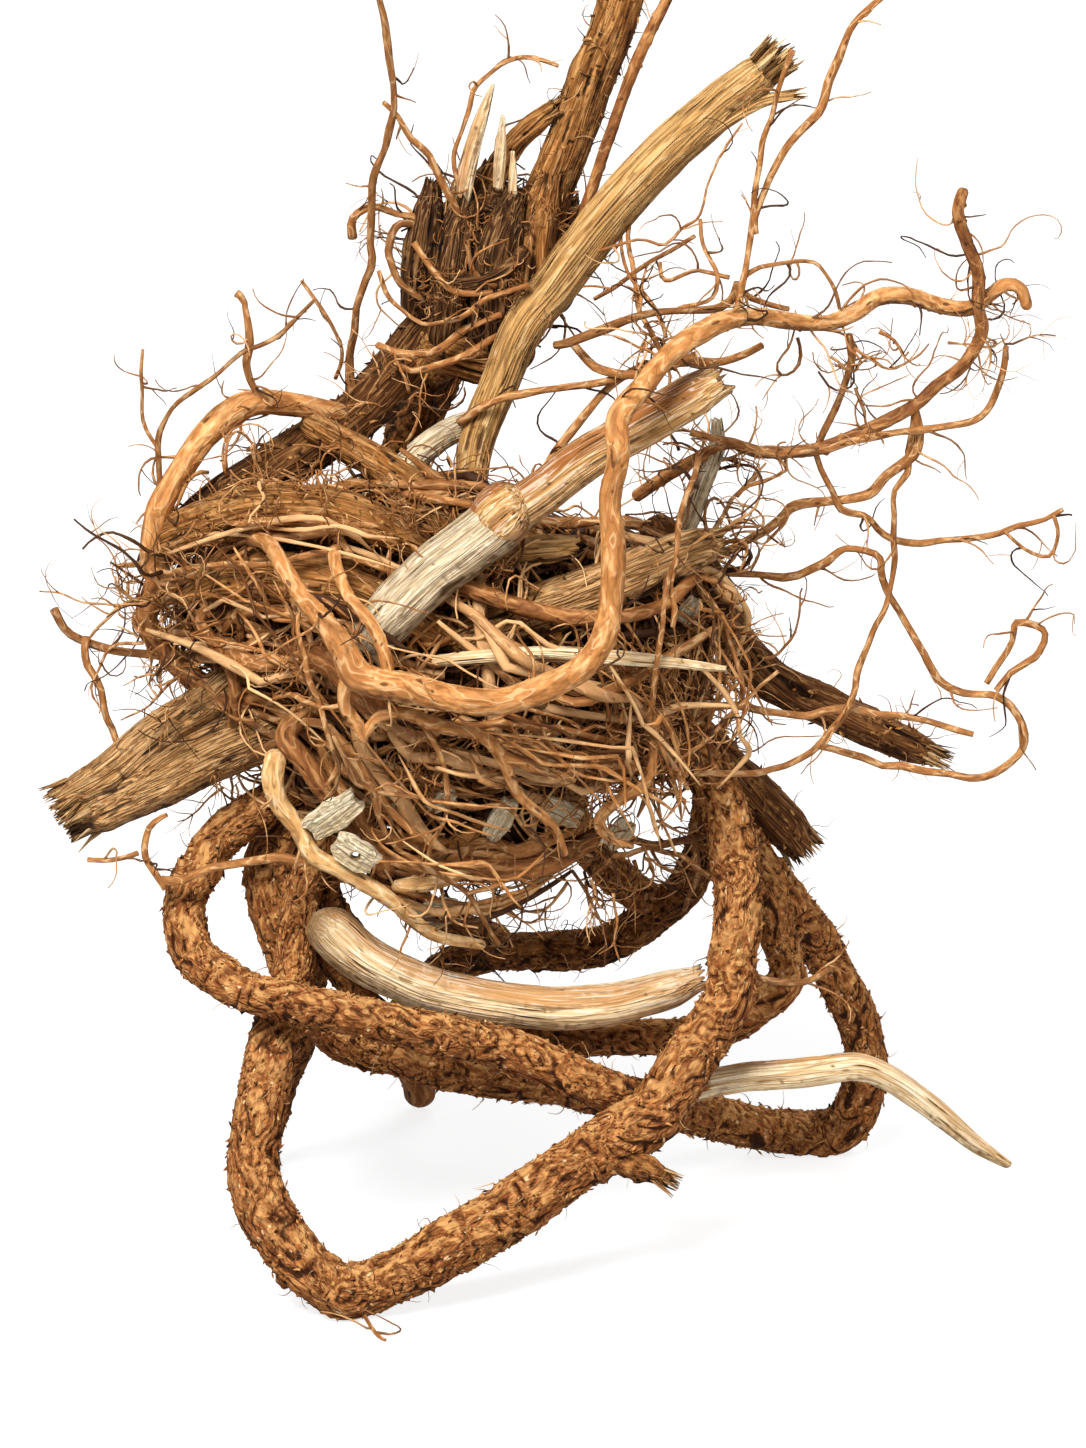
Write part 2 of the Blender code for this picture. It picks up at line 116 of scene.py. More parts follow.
def ringsRound(first, second, angle, flatten=1.0):
    return (np.cos(angle)[None, :, None] * first[:, None, :]
            + np.sin(angle)[None, :, None] * second[:, None, :] * flatten)


def tubeFaces(count, sides, offset=0):
    base = np.arange(count - 1)[:, None] * sides + np.arange(sides)[None, :] + offset
    after = np.arange(count - 1)[:, None] * sides + (np.arange(sides)[None, :] + 1) % sides + offset
    return np.stack([base, after, after + sides, base + sides], axis=2).reshape(-1, 4).tolist()


def grainPlaces(s, reach, angle, shift):  # length along the root and place across it, for the materials
    across = reach * np.cos(angle)[None, :]
    return np.stack([s[:, None] + 0 * across + shift, across, reach * np.sin(angle)[None, :]],
                    axis=2).reshape(-1, 3)


def ringNoise(seed, s, t, cell, around, twist=0.0):  # smooth noise over length s (mm) and turn t (0 to 1)
    if s.ndim == 1:
        s, t = s[:, None] + 0 * t[None, :], t[None, :] + 0 * s[:, None]
    grid = np.random.default_rng(seed).random((int(s.max() / cell) + 3, around))
    a = s / cell
    b = ((t + twist * s) % 1.0) * around
    i, j = a.astype(int), b.astype(int) % around
    f, g = a - a.astype(int), b - np.floor(b)
    f, g = f * f * (3 - 2 * f), g * g * (3 - 2 * g)
    k = (j + 1) % around
    near = grid[i, j] * (1 - f) + grid[i + 1, j] * f
    far = grid[i, k] * (1 - f) + grid[i + 1, k] * f
    return near * (1 - g) + far * g


def noteGrain(mesh, grown, toneAndShade):  # grown is for the grain, and the tone value darkens or lightens each point: the wood's own tone, with painted shade and light on the roots and strands
    vectors = mesh.attributes.new("grown", "FLOAT_VECTOR", "POINT")
    vectors.data.foreach_set("vector", np.asarray(grown, np.float32).ravel())
    shades = mesh.attributes.new("toneAndShade", "FLOAT", "POINT")
    shades.data.foreach_set("value", np.full(len(mesh.vertices), toneAndShade, np.float32))


def meshPiece(name, points, faces, grown, toneAndShade=0.5, smooth=True):  # points in mm
    points = np.asarray(points, float).copy()
    points[:, 2] = np.maximum(points[:, 2], floorGap)
    mesh = bpy.data.meshes.new(name)
    mesh.from_pydata((points * mm).tolist(), [], faces)
    noteGrain(mesh, grown, toneAndShade)
    mesh.polygons.foreach_set("use_smooth", [smooth] * len(mesh.polygons))
    mesh.update()
    piece = bpy.data.objects.new(name, mesh)
    bpy.context.scene.collection.objects.link(piece)
    return piece


def finishPiece(piece, finish, node="dry_root"):
    piece.data.materials.clear()
    piece.data.materials.append(finish)
    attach(piece, "root")
    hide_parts(node)


# crook bends the line; lump, swell, plates, fine, ridges, swirl, cracks, nubs and pits shape the surface, in mm
barkLook = {"spacing": 0.46, "crook": 0.5, "lump": 0.08, "swell": 0.55, "plates": 0.26, "fine": 0.20, "ridges": 0.0,
            "ridgeCount": 5, "swirl": 0.34, "cracks": 0.0, "nubs": 1.0, "pits": 0.40}
rearLook = dict(barkLook, spacing=0.62)
woodLook = {"spacing": 0.6, "crook": 0.35, "lump": 0.08, "swell": 0.5, "plates": 0.0, "fine": 0.16, "ridges": 0.40,
            "ridgeCount": 13, "swirl": 0.0, "cracks": 0.55, "nubs": 0.3, "pits": 0.3}
peeledLook = {"spacing": 0.6, "crook": 0.2, "lump": 0.04, "swell": 0.25, "plates": 0.0, "fine": 0.08, "ridges": 0.22,
              "ridgeCount": 19, "swirl": 0.0, "cracks": 0.28, "nubs": 0.0, "pits": 0.15}
skinLook = {"spacing": 0.55, "crook": 0.9, "lump": 0.09, "swell": 0.5, "plates": 0.0, "fine": 0.10, "ridges": 0.12,
            "ridgeCount": 7, "swirl": 0.0, "cracks": 0.0, "nubs": 0.55, "pits": 0.16}


# ends: r round, b broken off square, for the start and the end of the line; dull: mm of greyed wood at the start
def grow(name, points, look, finish, seed, node="dry_root", ends="rr", flatten=1.0, dull=0.0):
    line = smoothLine(points, look["spacing"])
    centres, radii = line[:, :3], line[:, 3]
    s = lengthsAlong(centres)
    bends = np.arange(0, s[-1] + bendLength, bendLength)
    drift = np.stack([np.interp(s, bends, np.random.default_rng(seed + k).normal(0, 0.05, len(bends)))
                      for k in range(3)], axis=1)
    centres = centres + drift * radii[:, None] * 3 * look["crook"]
    sides = max(8, int(round(math.tau * radii.max() / look["spacing"])))
    t = np.arange(sides) / sides
    along, first, second = travelFrames(centres)
    reach = radii[:, None] * (1 + look["lump"] * (ringNoise(seed, s, t, 13, 3) * 2 - 1))
    reach = reach + look["swell"] * (ringNoise(seed + 1, s, t, 4.5, 7) - 0.5) * np.minimum(1, radii / 4)[:, None]
    if look["plates"]:
        level = ringNoise(seed + 2, s, t, 3.4, 8, 0.004) * 3.5 + ringNoise(seed + 6, s, t, 1.5, 20) * 0.8
        reach = reach + look["plates"] * (level - np.floor(level)) ** 1.5
    fine = ringNoise(seed + 3, s, t, 0.9, max(6, sides // 2))
    reach = reach + look["fine"] * (fine - 0.5)
    shade = 0.50 + 0.30 * (fine - 0.5)
    if look["ridges"]:
        ridge = ringNoise(seed + 4, s, t, 16, look["ridgeCount"], 0.0006)
        reach = reach + look["ridges"] * (ridge - 0.5) * 2
        shade = shade + 0.30 * (ridge - 0.5)
    if look["swirl"]:  # fibres that swirl round knots: level lines of a warped noise
        slide = s[:, None] + 3.0 * (ringNoise(seed + 11, s, t, 5.0, 6) * 2 - 1)
        roll = t[None, :] + 0.08 * (ringNoise(seed + 12, s, t, 5.0, 6) * 2 - 1)
        slide = np.clip(slide, 0, s[-1])
        level = ringNoise(seed + 7, slide, roll, 8.0, 6) * 5.5 + ringNoise(seed + 8, slide, roll, 3.4, 11) * 0.9
        fibre = np.minimum(1, 1.8 * (1 - np.abs(level % 1.0 * 2 - 1)))
        reach = reach + look["swirl"] * (fibre - 0.7)
        shade = shade + 0.75 * (fibre - 0.68)
    if look["cracks"]:  # long splits between bundles of fibre
        split = np.clip(0.24 - ringNoise(seed + 15, s, t, 11, look["ridgeCount"] * 2 + 3, 0.0006), 0, 1) / 0.24
        reach = reach - look["cracks"] * split
        shade = shade - min(0.75, look["cracks"] * 1.6) * split
    nub = np.clip(ringNoise(seed + 13, s, t, 1.2, max(5, sides // 3)) - 0.86, 0, 1) / 0.14
    pit = np.clip(ringNoise(seed + 14, s, t, 1.0, max(5, sides // 2)) - 0.90, 0, 1) / 0.10
    reach = reach + look["nubs"] * nub ** 1.5 - look["pits"] * pit
    shade = shade + 0.25 * nub * look["nubs"] - 0.9 * pit * min(1, look["pits"] * 4)
    if dull:
        shade = np.minimum(shade, 0.10 + s[:, None] / dull * 0.5)
    for end, depth in ((ends[0], s), (ends[1], s[-1] - s)):
        if end == "r":  # a round end
            depth = depth / np.maximum(radii, 0.1)
            reach = reach * np.sqrt(np.clip(1 - (1 - np.clip(depth, 0, 1)) ** 2, 0.02, 1))[:, None]
        if end == "b":  # an end that frays a little before it breaks
            reach = reach * (0.82 + 0.18 * np.clip(depth / 5.0, 0, 1))[:, None]
    angle = t * math.tau
    ring = ringsRound(first, second, angle, flatten)
    # painted light and shade: the upper side of each root is coloured lighter and the underside darker
    shade = shade + 0.20 * ring[:, :, 2] - 0.03
    rings = centres[:, None, :] + ring * reach[:, :, None]
    for end, row, sign in ((ends[0], 0, -1), (ends[1], -1, 1)):
        if end == "b":  # fibres of a broken end stand out by different lengths
            jag = np.random.default_rng(seed + 9).random(sides) ** 2 * radii[row] * 0.7
            rings[row] += along[row] * (sign * jag)[:, None]
    count = len(s)
    faces = tubeFaces(count, sides)
    caps, capGrown = [], []
    for end, row, sign in ((ends[0], 0, -1), (ends[1], count - 1, 1)):  # each end closes over a recessed middle
        sink = 0.35 if end == "b" else -0.05
        index = count * sides + len(caps)
        caps.append(rings[row].mean(axis=0) - along[row] * (sign * radii[row] * sink))
        capGrown.append((s[row] + seed * grainShift, 0, 0))
        for k in range(sides):
            a, b = row * sides + k, row * sides + (k + 1) % sides
            faces.append([a, index, b] if sign < 0 else [a, b, index])
    verts = np.vstack([rings.reshape(-1, 3), caps])
    grown = np.vstack([grainPlaces(s, reach, angle, seed * grainShift), capGrown])
    toneAndShade = np.clip(np.concatenate([shade.ravel(), [0.2, 0.2]]), 0, 1)
    piece = meshPiece(name, verts, faces, grown, toneAndShade)
    turnOut(piece)
    finishPiece(piece, finish, node)
    surfaces[name] = {"centres": centres, "reach": reach, "first": first, "second": second, "along": along,
                      "s": s, "radii": radii, "seed": seed}


def turnOut(piece):  # faces point outwards
    bpy.context.view_layer.objects.active = piece
    piece.select_set(True)
    bpy.ops.object.mode_set(mode="EDIT")
    bpy.ops.mesh.select_all(action="SELECT")
    bpy.ops.mesh.normals_make_consistent(inside=False)
    bpy.ops.object.mode_set(mode="OBJECT")
    piece.select_set(False)


# Many thin strands in one piece

def strandPiece(name, strands, sides, finish):  # a strand: points, radii and its tone, which on the wrapping and sweeping roots also carries painted shade and light
    allPoints, allGrown, allTint, faces, offset = [], [], [], [], 0
    angle = np.arange(sides) / sides * math.tau
    for number, (centres, radii, toneAndShade) in enumerate(strands):
        first, second = travelFrames(centres)[1:]
        ring = ringsRound(first, second, angle)
        allPoints.append((centres[:, None, :] + ring * radii[:, None, None]).reshape(-1, 3))
        allGrown.append(grainPlaces(lengthsAlong(centres), radii[:, None], angle, number * strandShift))
        count = len(centres)
        allTint.append(np.full(count * sides, toneAndShade))
        faces += tubeFaces(count, sides, offset)
        faces.append(list(range(offset + sides - 1, offset - 1, -1)))
        faces.append(list(range(offset + (count - 1) * sides, offset + count * sides)))
        offset += count * sides
    piece = meshPiece(name, np.vstack(allPoints), faces, np.vstack(allGrown), np.concatenate(allTint))
    finishPiece(piece, finish)


def inBox(points):  # keeps strands inside the room that the model has
    low, high = np.array(cadBox[0]) / mm, np.array(cadBox[1]) / mm
    return np.clip(points, low - (sideRoom, sideRoom, -0.3), high + sideRoom)


def shoot(points, seed, toneAndShade=None):  # a thin root through set-out points, with small crooks along it
    chance = random.Random(seed)
    line = smoothLine(points, 1.6)
    count = len(line)
    rng = np.random.default_rng(chance.randrange(10 ** 6))
    knots = max(3, count // 3)
    at = np.linspace(0, knots, count)
    kink = np.stack([np.interp(at, np.arange(knots + 1), rng.normal(0, 0.35, knots + 1)) for k in range(3)], axis=1)
    swell = 1 + 0.18 * np.interp(at, np.arange(knots + 1), rng.normal(0, 0.6, knots + 1))
    return inBox(line[:, :3] + kink), line[:, 3] * swell, chance.random() if toneAndShade is None else toneAndShade


# a rootlet that feels its way from start; bend is how much it turns, and hug keeps it near the knots
def wander(start, direction, length, radius, bend=0.35, step=2.0, hug=None, sink=0.0, taper=0.65):
    point, heading = np.array(start, float), unit(np.array(direction, float))
    turn = anyWay() * bend
    count = max(4, int(length / step))
    centres = [point]
    for k in range(count):
        turn = turn * 0.72 + anyWay() * bend * 0.6
        heading = heading + np.cross(turn, heading) * 0.6
        if hug:
            outward, level = hugging(point)
            heading -= outward * np.dot(heading, outward) * 0.5
            heading += outward * np.clip(hug - level, -0.5, 0.5) * 1.6
        heading[2] -= sink
        heading = unit(heading)
        point = point + heading * step
        centres.append(point)
    radii = radius * np.linspace(1, taper, count + 1) * (1 + 0.12 * np.sin(np.arange(count + 1) * 1.7 + length))
    return inBox(np.array(centres)), radii, chance.random()


# Finishes: one grain group, used by every finish with its own values

def addNode(tree, kind, values=None, **settings):
    node = tree.nodes.new(kind)
    for key, value in settings.items():
        setattr(node, key, value)
    for key, value in (values or {}).items():
        if isinstance(value, bpy.types.NodeSocket):
            tree.links.new(value, node.inputs[key])
        else:
            node.inputs[key].default_value = value
    return node


def sums(tree, operation, a, b):
    return addNode(tree, "ShaderNodeMath", {0: a, 1: b}, operation=operation).outputs[0]


def blendColour(tree, factor, a, b):
    return addNode(tree, "ShaderNodeMix", {0: factor, 6: a, 7: b}, data_type="RGBA").outputs[2]


def fadeBetween(tree, value, low, high):  # 0 below low, 1 above high
    return addNode(tree, "ShaderNodeMapRange", {0: value, 1: low, 2: high, 3: 0.0, 4: 1.0},
                   interpolation_type="SMOOTHSTEP").outputs[0]


grainInputs = ("Lengthen", "Scale", "Warp", "Lines", "Pit size")


def makeGrainGroup():
    group = bpy.data.node_groups.new("rootGrain", "ShaderNodeTree")
    face = group.interface
    face.new_socket("Grown", in_out="INPUT", socket_type="NodeSocketVector")
    for label in grainInputs:
        face.new_socket(label, in_out="INPUT", socket_type="NodeSocketFloat")
    for label in ("Streak", "Swirl", "Pits", "Patch", "Flake", "Fine"):
        face.new_socket(label, in_out="OUTPUT", socket_type="NodeSocketFloat")
    ends = addNode(group, "NodeGroupInput").outputs
    out = addNode(group, "NodeGroupOutput")

    def vector(operation, a, b):
        return addNode(group, "ShaderNodeVectorMath", {0: a, 1: b}, operation=operation).outputs[0]

    def scaled(factor):
        return sums(group, "MULTIPLY", ends["Scale"], factor)

    def noise(where, scale, detail, output=0, roughness=0.5):
        return addNode(group, "ShaderNodeTexNoise", {"Vector": where, "Scale": scale, "Detail": detail,
                                                     "Roughness": roughness}).outputs[output]

    stretch = addNode(group, "ShaderNodeCombineXYZ", {0: ends["Lengthen"], 1: 1.0, 2: 1.0}).outputs[0]
    flat = vector("MULTIPLY", ends["Grown"], stretch)
    push = vector("SUBTRACT", noise(flat, 0.33, 2.0, 1), (0.5, 0.5, 0.5))
    pushed = addNode(group, "ShaderNodeVectorMath", {0: push, "Scale": ends["Warp"]}, operation="SCALE").outputs[0]
    bent = vector("ADD", flat, pushed)
    swirl = sums(group, "PINGPONG", sums(group, "MULTIPLY", noise(bent, scaled(0.34), 2.0), ends["Lines"]), 0.5)
    cell = addNode(group, "ShaderNodeTexVoronoi", {"Vector": bent, "Scale": scaled(0.8)}).outputs
    pitEdge = fadeBetween(group, cell[0], sums(group, "MULTIPLY", ends["Pit size"], 0.6), ends["Pit size"])
    pits = sums(group, "SUBTRACT", 1.0, pitEdge)
    rare = fadeBetween(group, addNode(group, "ShaderNodeSeparateColor", {0: cell[1]}).outputs[0], 0.5, 0.62)
    edge = addNode(group, "ShaderNodeTexVoronoi", {"Vector": bent, "Scale": scaled(0.42)},
                   feature="DISTANCE_TO_EDGE").outputs[0]
    for label, value in (("Streak", noise(bent, ends["Scale"], 6.0, 0, 0.62)),
                         ("Swirl", sums(group, "MULTIPLY", swirl, 2.0)),
                         ("Pits", sums(group, "MULTIPLY", pits, rare)),
                         ("Patch", noise(flat, 0.16, 2.0)),
                         ("Flake", fadeBetween(group, edge, 0.0, 0.16)),
                         ("Fine", noise(bent, scaled(3.3), 3.0))):
        group.links.new(value, out.inputs[label])
    return group


grainGroup = makeGrainGroup()


def rgb(hexColour):  # a display colour, as linear light
    parts = [int(hexColour[k:k + 2], 16) / 255 for k in (0, 2, 4)]
    return (*[p / 12.92 if p <= 0.04045 else ((p + 0.055) / 1.055) ** 2.4 for p in parts], 1.0)


def makeFinish(name, look):
    finish = bpy.data.materials.new(name)
    finish.use_nodes = True
    tree = finish.node_tree
    shader = tree.nodes["Principled BSDF"]
    where = addNode(tree, "ShaderNodeAttribute", attribute_name="grown").outputs["Vector"]
    toneAndShade = addNode(tree, "ShaderNodeAttribute", attribute_name="toneAndShade").outputs["Fac"]
    values = {label: look[label] for label in grainInputs}
    out = addNode(tree, "ShaderNodeGroup", {"Grown": where, **values}, node_tree=grainGroup).outputs
    ramp = addNode(tree, "ShaderNodeValToRGB", {0: out["Streak"]})
    tones = ramp.color_ramp.elements
    tones[0].position, tones[1].position = look["range"]
    tones[0].color, tones[1].color = rgb(look["dark"]), rgb(look["light"])
    tones.new(sum(look["range"]) / 2).color = rgb(look["mid"])
    colour = ramp.outputs[0]
    for mask, amount, tone in (
            (fadeBetween(tree, out["Patch"], 0.48, 0.62), look["patchAmount"], "patch"),
            (fadeBetween(tree, out["Swirl"], 0.30, 0.04), look["lineAmount"], "line"),
            (fadeBetween(tree, out["Swirl"], 0.72, 0.96), look["glintAmount"], "glint"),
            (sums(tree, "SUBTRACT", 1.0, out["Flake"]), look["flakeAmount"], "line"),
            (out["Pits"], look["pitAmount"], "pit"),
            # the tone value darkens and lightens the colour: the wood's own tone, with painted shade on undersides and
            # deep in the mass and painted light on upper sides and outer strands
            (fadeBetween(tree, toneAndShade, 0.46, 0.08), 0.94, "tintDark"),
            (fadeBetween(tree, toneAndShade, 0.66, 1.0), 0.72, "tintLight")):
        if amount:
            colour = blendColour(tree, sums(tree, "MULTIPLY", mask, amount), colour, rgb(look[tone]))
    height = sums(tree, "MULTIPLY", out["Streak"], look["bumpStreak"])
    for label, bumpName, operation in (("Swirl", "bumpSwirl", "ADD"), ("Flake", "bumpFlake", "ADD"),
                                       ("Fine", "bumpFine", "ADD"), ("Pits", "bumpPit", "SUBTRACT")):
        height = sums(tree, operation, height, sums(tree, "MULTIPLY", out[label], look[bumpName]))
    bump = addNode(tree, "ShaderNodeBump", {"Strength": 1.0, "Distance": look["depth"] * mm, "Height": height})
    rough = addNode(tree, "ShaderNodeMapRange", {0: out["Fine"], 1: 0.2, 2: 0.8, 3: look["rough"] - 0.10,
                                                 4: look["rough"] + 0.08})
    tree.links.new(colour, shader.inputs["Base Color"])
    tree.links.new(bump.outputs[0], shader.inputs["Normal"])
    tree.links.new(rough.outputs[0], shader.inputs["Roughness"])
    shader.inputs["Specular IOR Level"].default_value = look["gloss"]
    return finish


barkFinishLook = {
    "Lengthen": 0.55, "Scale": 0.75, "Warp": 3.2, "Lines": 8.0, "Pit size": 0.20, "range": (0.34, 0.66),
    "dark": "5e3217", "mid": "965a2e", "light": "c4864d", "patch": "7d4422", "patchAmount": 0.5,
    "line": "3a1d0b", "lineAmount": 0.40, "glint": "e0ab6c", "glintAmount": 0.35, "flakeAmount": 0.25,
    "pit": "ecc896", "pitAmount": 0.75, "bumpStreak": 0.9, "bumpSwirl": 0.45, "bumpFlake": 0.4, "bumpFine": 0.30,
    "bumpPit": -0.2, "depth": 0.6, "rough": 0.86, "gloss": 0.08, "tintDark": "2b1307", "tintLight": "dba565",
}
darkBarkLook = dict(barkFinishLook, dark="3f2210", mid="774622", light="a9713c", patch="6d3c1c", line="1f1007",
                    glint="c08c52", glintAmount=0.25, pitAmount=0.4, tintDark="1b0c05", tintLight="b98147")
fibreFinishLook = {
    "Lengthen": 0.07, "Scale": 1.3, "Warp": 0.8, "Lines": 7.0, "Pit size": 0.22, "range": (0.30, 0.70),
    "dark": "552f15", "mid": "95602f", "light": "c89257", "patch": "6e4324", "patchAmount": 0.6,
    "line": "2a150a", "lineAmount": 0.5, "glint": "d9ab70", "glintAmount": 0.4, "flakeAmount": 0.0,
    "pit": "2a150a", "pitAmount": 0.8, "bumpStreak": 0.8, "bumpSwirl": 0.5, "bumpFlake": 0.0, "bumpFine": 0.3,
    "bumpPit": 0.5, "depth": 0.6, "rough": 0.84, "gloss": 0.08, "tintDark": "1d0e06", "tintLight": "cf9c62",
}
darkFibreLook = dict(fibreFinishLook, dark="2d170a", mid="60391d", light="99673a", patch="4d2c15", line="190c05",
                     glint="b98a56", tintDark="170a04", tintLight="b78450")
crownFinishLook = dict(fibreFinishLook, dark="201008", mid="4a2d18", light="8a6039", patch="33200f", line="120903",
                       glint="b98d5c", pit="0e0703", tintDark="0e0703", tintLight="a8794b")
peeledFinishLook = {
    "Lengthen": 0.045, "Scale": 1.5, "Warp": 0.5, "Lines": 7.0, "Pit size": 0.25, "range": (0.28, 0.72),
    "dark": "bf9057", "mid": "e0c193", "light": "f6e7ca", "patch": "bb7f45", "patchAmount": 0.7,
    "line": "96703f", "lineAmount": 0.45, "glint": "fff5e0", "glintAmount": 0.35, "flakeAmount": 0.0,
    "pit": "4f2f14", "pitAmount": 0.95, "bumpStreak": 0.6, "bumpSwirl": 0.5, "bumpFlake": 0.0, "bumpFine": 0.25,
    "bumpPit": 0.5, "depth": 0.45, "rough": 0.78, "gloss": 0.12, "tintDark": "82613a", "tintLight": "fff4dc",
}
strawFinishLook = dict(peeledFinishLook, dark="80582c", mid="bb8b50", light="dfb87c", patch="99703f", patchAmount=0.6,
                       line="5e3f1c", lineAmount=0.6, glint="efd3a0", pit="402410", pitAmount=0.95, Scale=1.3,
                       depth=0.7, tintDark="4f3216", tintLight="edcb96")
paleStemFinishLook = dict(peeledFinishLook, dark="8f5f31", mid="c2935b", light="e8cc9c", patch="915628",
                          patchAmount=0.9, line="7a5429", lineAmount=0.55, tintDark="5e3d1b", tintLight="faeccb")
weatheredFinishLook = dict(peeledFinishLook, dark="9c8460", mid="ccb590", light="eee0c4", patch="a98e68",
                           patchAmount=0.45, line="6a5236", lineAmount=0.45, glint="f6ecd6", pit="3c2a18",
                           Lengthen=0.06, depth=0.7, tintDark="594227", tintLight="f0e4cc")
stumpFinishLook = dict(peeledFinishLook, dark="6d4522", mid="ab7b49", light="ddb37c", patch="7e5329", patchAmount=0.7,
                       line="3a2410", lineAmount=0.65, glint="ecc998", Lengthen=0.09, Warp=1.2, depth=0.9,
                       tintDark="2e1a0b", tintLight="e3bf8b")
skinFinishLook = {
    "Lengthen": 0.35, "Scale": 0.6, "Warp": 1.2, "Lines": 6.0, "Pit size": 0.20, "range": (0.30, 0.72),
    "dark": "935a2a", "mid": "bf8147", "light": "e6b57a", "patch": "9a6231", "patchAmount": 0.55,
    "line": "6d3f1a", "lineAmount": 0.40, "glint": "f4cf9a", "glintAmount": 0.35, "flakeAmount": 0.10,
    "pit": "4a280f", "pitAmount": 0.8, "bumpStreak": 0.7, "bumpSwirl": 0.4, "bumpFlake": 0.2, "bumpFine": 0.25,
    "bumpPit": 0.3, "depth": 0.45, "rough": 0.68, "gloss": 0.18, "tintDark": "5a3214", "tintLight": "f0c78e",
}
brownSkinLook = dict(skinFinishLook, dark="5f3517", mid="935b2e", light="c08a52", patch="74441f", line="3c200d",
                     glint="d6a66c", tintDark="331a0a", tintLight="cf9c62")
creamSkinLook = dict(skinFinishLook, dark="a87743", mid="d3a468", light="f1d3a0", patch="b07c45", line="7b5228",
                     glint="fbe6c0", tintDark="6b4420", tintLight="fae3bb")
rootletLook = dict(skinFinishLook, dark="744522", mid="9d6736", light="c8935a", Scale=0.8, tintDark="341a0b",
                   tintLight="e3b47d", depth=0.25, flakeAmount=0.0)
# near-black: painted shade for the deep middle of the root ball, seen between the strands
coreShadowLook = dict(darkBarkLook, dark="150a04", mid="33200f", light="5c3b1e", Lengthen=1.0, Scale=0.5, pitAmount=0.0,
                line="0c0603", tintDark="120903", tintLight="5c3b1e")
chipFinishLook = dict(peeledFinishLook, dark="9c8661", mid="cbb995", light="ece0c6", patch="b09873", line="7a6546",
                      pitAmount=0.4, Lengthen=0.08)

bark, darkBark = makeFinish("barkFinish", barkFinishLook), makeFinish("darkBarkFinish", darkBarkLook)
fibreWood, crownWood = makeFinish("fibreFinish", fibreFinishLook), makeFinish("crownFinish", crownFinishLook)
darkFibre = makeFinish("darkFibreFinish", darkFibreLook)
peeled, straw = makeFinish("peeledFinish", peeledFinishLook), makeFinish("strawFinish", strawFinishLook)
paleWood = makeFinish("paleStemFinish", paleStemFinishLook)
weathered, stumpWood = makeFinish("weatheredFinish", weatheredFinishLook), makeFinish("stumpFinish", stumpFinishLook)
skin, rootlet = makeFinish("skinFinish", skinFinishLook), makeFinish("rootletFinish", rootletLook)
brownSkin, creamSkin = makeFinish("brownSkinFinish", brownSkinLook), makeFinish("creamSkinFinish", creamSkinLook)
coreShadowFinish, chipWood = makeFinish("coreShadowFinish", coreShadowLook), makeFinish("chipFinish", chipFinishLook)
print("finishes ready")


# The bark-covered loops and roots: (across, up, back, radius) in mm

